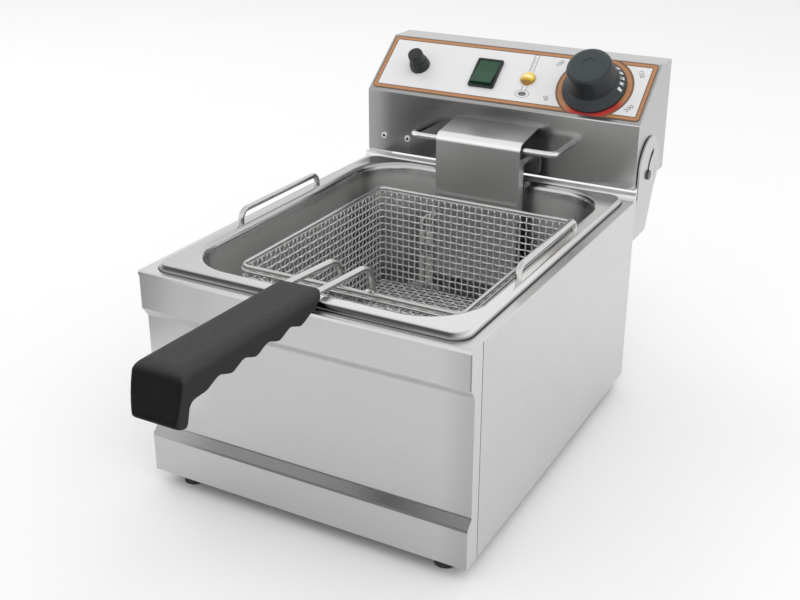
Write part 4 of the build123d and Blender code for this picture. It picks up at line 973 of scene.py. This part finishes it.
def weave_floor():
    """Floor of the basket, woven the same way, its strands drawn in at the rounded corners."""
    half = BASKET_HALF - FLOOR_INSET
    front = BASKET_FRONT + FLOOR_INSET
    rear = BASKET_REAR - FLOOR_INSET
    columns = round(2 * half / MESH_PITCH)
    rows = round((rear - front) / MESH_PITCH)
    column_pitch = 2 * half / columns
    row_pitch = (rear - front) / rows
    height = BASKET_FLOOR + FLOOR_LIFT
    builder = bmesh.new()

    def trim(value, low, high, other, other_low, other_high):
        """Place along a strand, drawn in where the strand meets a rounded corner."""
        gap = CORNER - min(other - other_low, other_high - other)
        cut = CORNER - math.sqrt(max(CORNER**2 - gap**2, 0.0)) if gap > 0 else 0.0
        return max(low + cut, min(high - cut, value))

    for row in range(1, rows):
        depth = front + row * row_pitch
        points = []
        for step in range(2 * columns + 1):
            x = trim(-half + step * column_pitch / 2, -half, half, depth, front, rear)
            points.append(spot(x, depth, height + crimp(step, row)))
        strand_along(builder, without_repeats(points))
    for column in range(1, columns):
        x = -half + column * column_pitch
        points = []
        for step in range(2 * rows + 1):
            depth = trim(front + step * row_pitch / 2, front, rear, x, -half, half)
            points.append(spot(x, depth, height - crimp(step, column)))
        strand_along(builder, without_repeats(points))
    mesh = mesh_from("woven_floor", builder)
    mesh.shade_smooth()
    piece_from("woven_floor", mesh, "mesh_wire", "basket", "basket_mesh", "basket_floor_mesh")


# Grip: the moulded handle with every edge softened

GRIP_VOXEL = 0.0011
GRIP_SOFTEN = 16
GRIP_SOFTNESS = 0.5
GRIP_HEEL = -9.0
GRIP_UNDERCUT = (191.8, 194.0)
GRIP_OVERHANG = 8.0


def mould_grip():
    """Grip with softened edges, its inner end leaning a little over the tank's rim."""
    mesh = nodes["handle_grip"].data.copy()
    mesh.materials.clear()
    low, high = GRIP_UNDERCUT
    builder = bmesh.new()
    builder.from_mesh(mesh)
    for level in GRIP_UNDERCUT:
        everything = builder.verts[:] + builder.edges[:] + builder.faces[:]
        bmesh.ops.bisect_plane(builder, geom=everything, plane_co=(0, 0, level * MM), plane_no=(0, 0, 1))
    builder.to_mesh(mesh)
    builder.free()
    inner_end = max(vertex.co.y for vertex in mesh.vertices)
    heel = (GRIP_HEEL - MIDDLE) * MM
    for vertex in mesh.vertices:
        along = max(0.0, (vertex.co.y - heel) / (inner_end - heel))
        above = min(1.0, max(0.0, (vertex.co.z / MM - low) / (high - low)))
        vertex.co.y += GRIP_OVERHANG * MM * along * above
    grip = piece_from("moulded_grip", mesh, "grip", "handle", "black_plastic", "handle_grip")
    remesh = grip.modifiers.new("skin", "REMESH")
    remesh.mode = "VOXEL"
    remesh.voxel_size = GRIP_VOXEL
    remesh.use_smooth_shade = True
    soften = grip.modifiers.new("soften", "SMOOTH")
    soften.factor = GRIP_SOFTNESS
    soften.iterations = GRIP_SOFTEN


# Printing on the panel: dial numbers and a plain thermometer sign

INK_DEPTH = 0.03
PRINT_LIFT = PANEL_FOIL + 0.03
NUMBER_SIZE = 6.0
DIAL_NUMBERS = (
    ("50", 43.2, 16.3, -62.0),
    ("100", 43.4, 57.4, 52.0),
    ("150", 122.4, 56.5, -62.0),
    ("200", 122.8, 16.9, 52.0),
)
SIGN_X = 19.0
SIGN_LINE = 0.5
STEM_HALF = 2.2
STEM_TOP = 63.0
STEM_SPANS = ((44.0, STEM_TOP), (21.5, 27.5))
TICK_COUNT = 6
TICK_FROM = 46.0
TICK_STEP = 2.8
TICK_ENDS = (-2.0, 0.4)
CAP_HALF = (2.4, 1.6)
CAP_BORE = (0.78, 0.7)
CAP_STEPS = 8
POOL_RISE = 17.8
POOL_BULB = (4.2, 2.5)
POOL_OUTER = (7.2, 4.5)
POOL_INNER = (6.7, 4.1)
POOL_STEPS = 28


def on_panel(x, rise, turn=0.0):
    """Placement on the sloped panel, turned about its normal by degrees."""
    normal = Vector((0.0, -math.sin(SLOPE), math.cos(SLOPE)))
    up = Vector((0.0, math.cos(SLOPE), math.sin(SLOPE)))
    right = Vector((1.0, 0.0, 0.0))
    base = spot(x, FACE_DEPTH, SLOPE_FOOT) + up * rise * MM + normal * PRINT_LIFT * MM
    axes = Matrix((right, up, normal)).transposed().to_4x4()
    return Matrix.Translation(base) @ axes @ Matrix.Rotation(math.radians(turn), 4, "Z")


def print_number(word, x, rise, turn):
    """One number of the thermostat's dial."""
    text = bpy.data.curves.new(f"dial_{word}", "FONT")
    text.body = word
    text.size = NUMBER_SIZE * MM
    text.extrude = INK_DEPTH * MM
    text.align_x = "CENTER"
    text.align_y = "CENTER"
    piece_from(f"dial_{word}", text, "ink", "head", "fascia_print", place=on_panel(x, rise, turn))


def flat_shape(builder, outline, place):
    """Thin printed shape from an outline on the panel."""
    lower = [builder.verts.new(place @ Vector((x * MM, y * MM, 0.0))) for x, y in outline]
    face = builder.faces.new(lower)
    raised = bmesh.ops.extrude_face_region(builder, geom=[face])
    lift = place.to_3x3() @ Vector((0.0, 0.0, INK_DEPTH * MM))
    for item in raised["geom"]:
        if isinstance(item, bmesh.types.BMVert):
            item.co += lift


def box_outline(left, low, right, high):
    """Corners of an upright box."""
    return [(left, low), (right, low), (right, high), (left, high)]


def oval_point(middle, half, turn):
    """Point of an oval around a middle height."""
    half_x, half_y = half
    return half_x * math.cos(turn), middle + half_y * math.sin(turn)


def print_thermometer():
    """Upright tube with ticks above the lamp and a bulb in its pool below."""
    builder = bmesh.new()
    place = on_panel(SIGN_X, 0.0)
    for low, high in STEM_SPANS:
        for side in (-STEM_HALF, STEM_HALF):
            flat_shape(builder, box_outline(side - SIGN_LINE / 2, low, side + SIGN_LINE / 2, high), place)
    tick_left, tick_right = TICK_ENDS
    for tick in range(TICK_COUNT):
        height = TICK_FROM + tick * TICK_STEP
        flat_shape(builder, box_outline(tick_left, height, tick_right, height + SIGN_LINE), place)
    cap = [oval_point(STEM_TOP, CAP_HALF, math.pi * step / CAP_STEPS) for step in range(CAP_STEPS + 1)]
    bore_x, bore_y = CAP_BORE
    inner = [(x * bore_x, STEM_TOP + (y - STEM_TOP) * bore_y) for x, y in reversed(cap)]
    flat_shape(builder, cap + inner, place)
    step_turn = 2 * math.pi / POOL_STEPS
    turns = [step * step_turn for step in range(POOL_STEPS)]
    flat_shape(builder, [oval_point(POOL_RISE, POOL_BULB, turn) for turn in turns], place)
    for turn in turns:
        outer = [oval_point(POOL_RISE, POOL_OUTER, end) for end in (turn, turn + step_turn)]
        inner = [oval_point(POOL_RISE, POOL_INNER, end) for end in (turn + step_turn, turn)]
        flat_shape(builder, outer + inner, place)
    mesh = mesh_from("thermometer_sign", builder)
    piece_from("thermometer_sign", mesh, "ink", "head", "fascia_print")


# Studio: pale floor, dark card, white surround, soft light

FLOOR_SIZE = 14.0
FLOOR_MOTTLE = 0.004
FLOOR_GREYS = (0.93, 0.95)
CARD_DEPTH = -170.0
CARD_SIDES = (-400.0, -255.0)
CARD_HEIGHT = 150.0
CARD_MOTTLE = 0.2
CARD_GREYS = (0.05, 0.08)
CARD_HIDDEN_FROM = ("camera", "diffuse", "shadow")
STAGE_ROUGHNESS = 0.9
AMBIENT = 0.86
HORIZON = 0.98
ZENITH = 0.78
ZENITH_SPAN = (0.5, 0.82)
SEEN_RAYS = ("Is Camera Ray", "Is Glossy Ray", "Is Transmission Ray")
LAMP_TARGET = (0.0, 0.0, 0.15)
LAMPS = (
    ("key_light", (1.5, -0.7, 2.2), 2.6, 20.0),
    ("side_light", (-1.8, 0.6, 1.9), 1.3, 8.0),
)


def stage_sheet(name, corners, scale, greys, hidden_from=()):
    """Flat matt sheet of the studio, faintly mottled between two greys."""
    mesh = bpy.data.meshes.new(name)
    mesh.from_pydata(corners, [], [(0, 1, 2, 3)])
    sheet = bpy.data.objects.new(name, mesh)
    bpy.context.scene.collection.objects.link(sheet)
    finish = Finish(name)
    mottled = finish.blend(finish.cloud(scale), *map(grey, greys))
    finish.give(base_color=mottled, roughness=STAGE_ROUGHNESS)
    mesh.materials.append(finish.material)
    for ray in hidden_from:
        setattr(sheet, f"visible_{ray}", False)


def lay_floor():
    """Wide floor at the table's height."""
    half = FLOOR_SIZE / 2
    corners = [(x, y, 0.0) for x, y in box_outline(-half, -half, half, half)]
    stage_sheet("studio_floor", corners, FLOOR_MOTTLE, FLOOR_GREYS)


def stand_card():
    """Grey card left of the fryer that only mirrors in its metal, as a studio's dark side does."""
    left, right = CARD_SIDES
    corners = [spot(x, CARD_DEPTH, height) for x, height in box_outline(left, 0.0, right, CARD_HEIGHT)]
    stage_sheet("studio_card", corners, CARD_MOTTLE, CARD_GREYS, CARD_HIDDEN_FROM)


def light_room():
    """White surround, darker overhead, that the camera and metal see; plain light for everything else."""
    world = bpy.data.worlds.new("studio_surround")
    bpy.context.scene.world = world
    world.use_nodes = True
    room = Recipe(world.node_tree)
    camera_ray, glossy_ray, clear_ray = room.node("ShaderNodeLightPath", out=SEEN_RAYS)
    seen = camera_ray.math("MAXIMUM", glossy_ray).math("MAXIMUM", clear_ray)
    heading = room.node("ShaderNodeTexCoord", out="Generated")
    upward = room.node("ShaderNodeSeparateXYZ", None, [heading], out="Z")
    sky = room.grade(upward, *ZENITH_SPAN, HORIZON, ZENITH, True)
    backdrop = room.node("ShaderNodeBackground", None, {"Color": sky, "Strength": 1.0})
    ambient = room.node("ShaderNodeBackground", None, {"Color": grey(1.0), "Strength": AMBIENT})
    mixed = room.node("ShaderNodeMixShader", None, [seen, ambient, backdrop])
    room.feed(room.tree.nodes["World Output"].inputs["Surface"], mixed)


def hang_lamp(name, place, side, watts):
    """Square soft lamp that lights surfaces but leaves no bright patch in metal."""
    light = bpy.data.lights.new(name, "AREA")
    light.shape = "SQUARE"
    light.size = side
    light.energy = watts
    lamp = bpy.data.objects.new(name, light)
    lamp.location = place
    lamp.rotation_euler = (Vector(LAMP_TARGET) - Vector(place)).to_track_quat("-Z", "Y").to_euler()
    lamp.visible_glossy = False
    bpy.context.scene.collection.objects.link(lamp)


place_camera()
dress_pieces()
for wall in ("front", "rear", "left", "right"):
    weave_wall(wall)
weave_floor()
mould_grip()
for dial_number in DIAL_NUMBERS:
    print_number(*dial_number)
print_thermometer()
lay_floor()
stand_card()
light_room()
for lamp_facts in LAMPS:
    hang_lamp(*lamp_facts)

scene = bpy.context.scene
scene.view_settings.view_transform = "Standard"
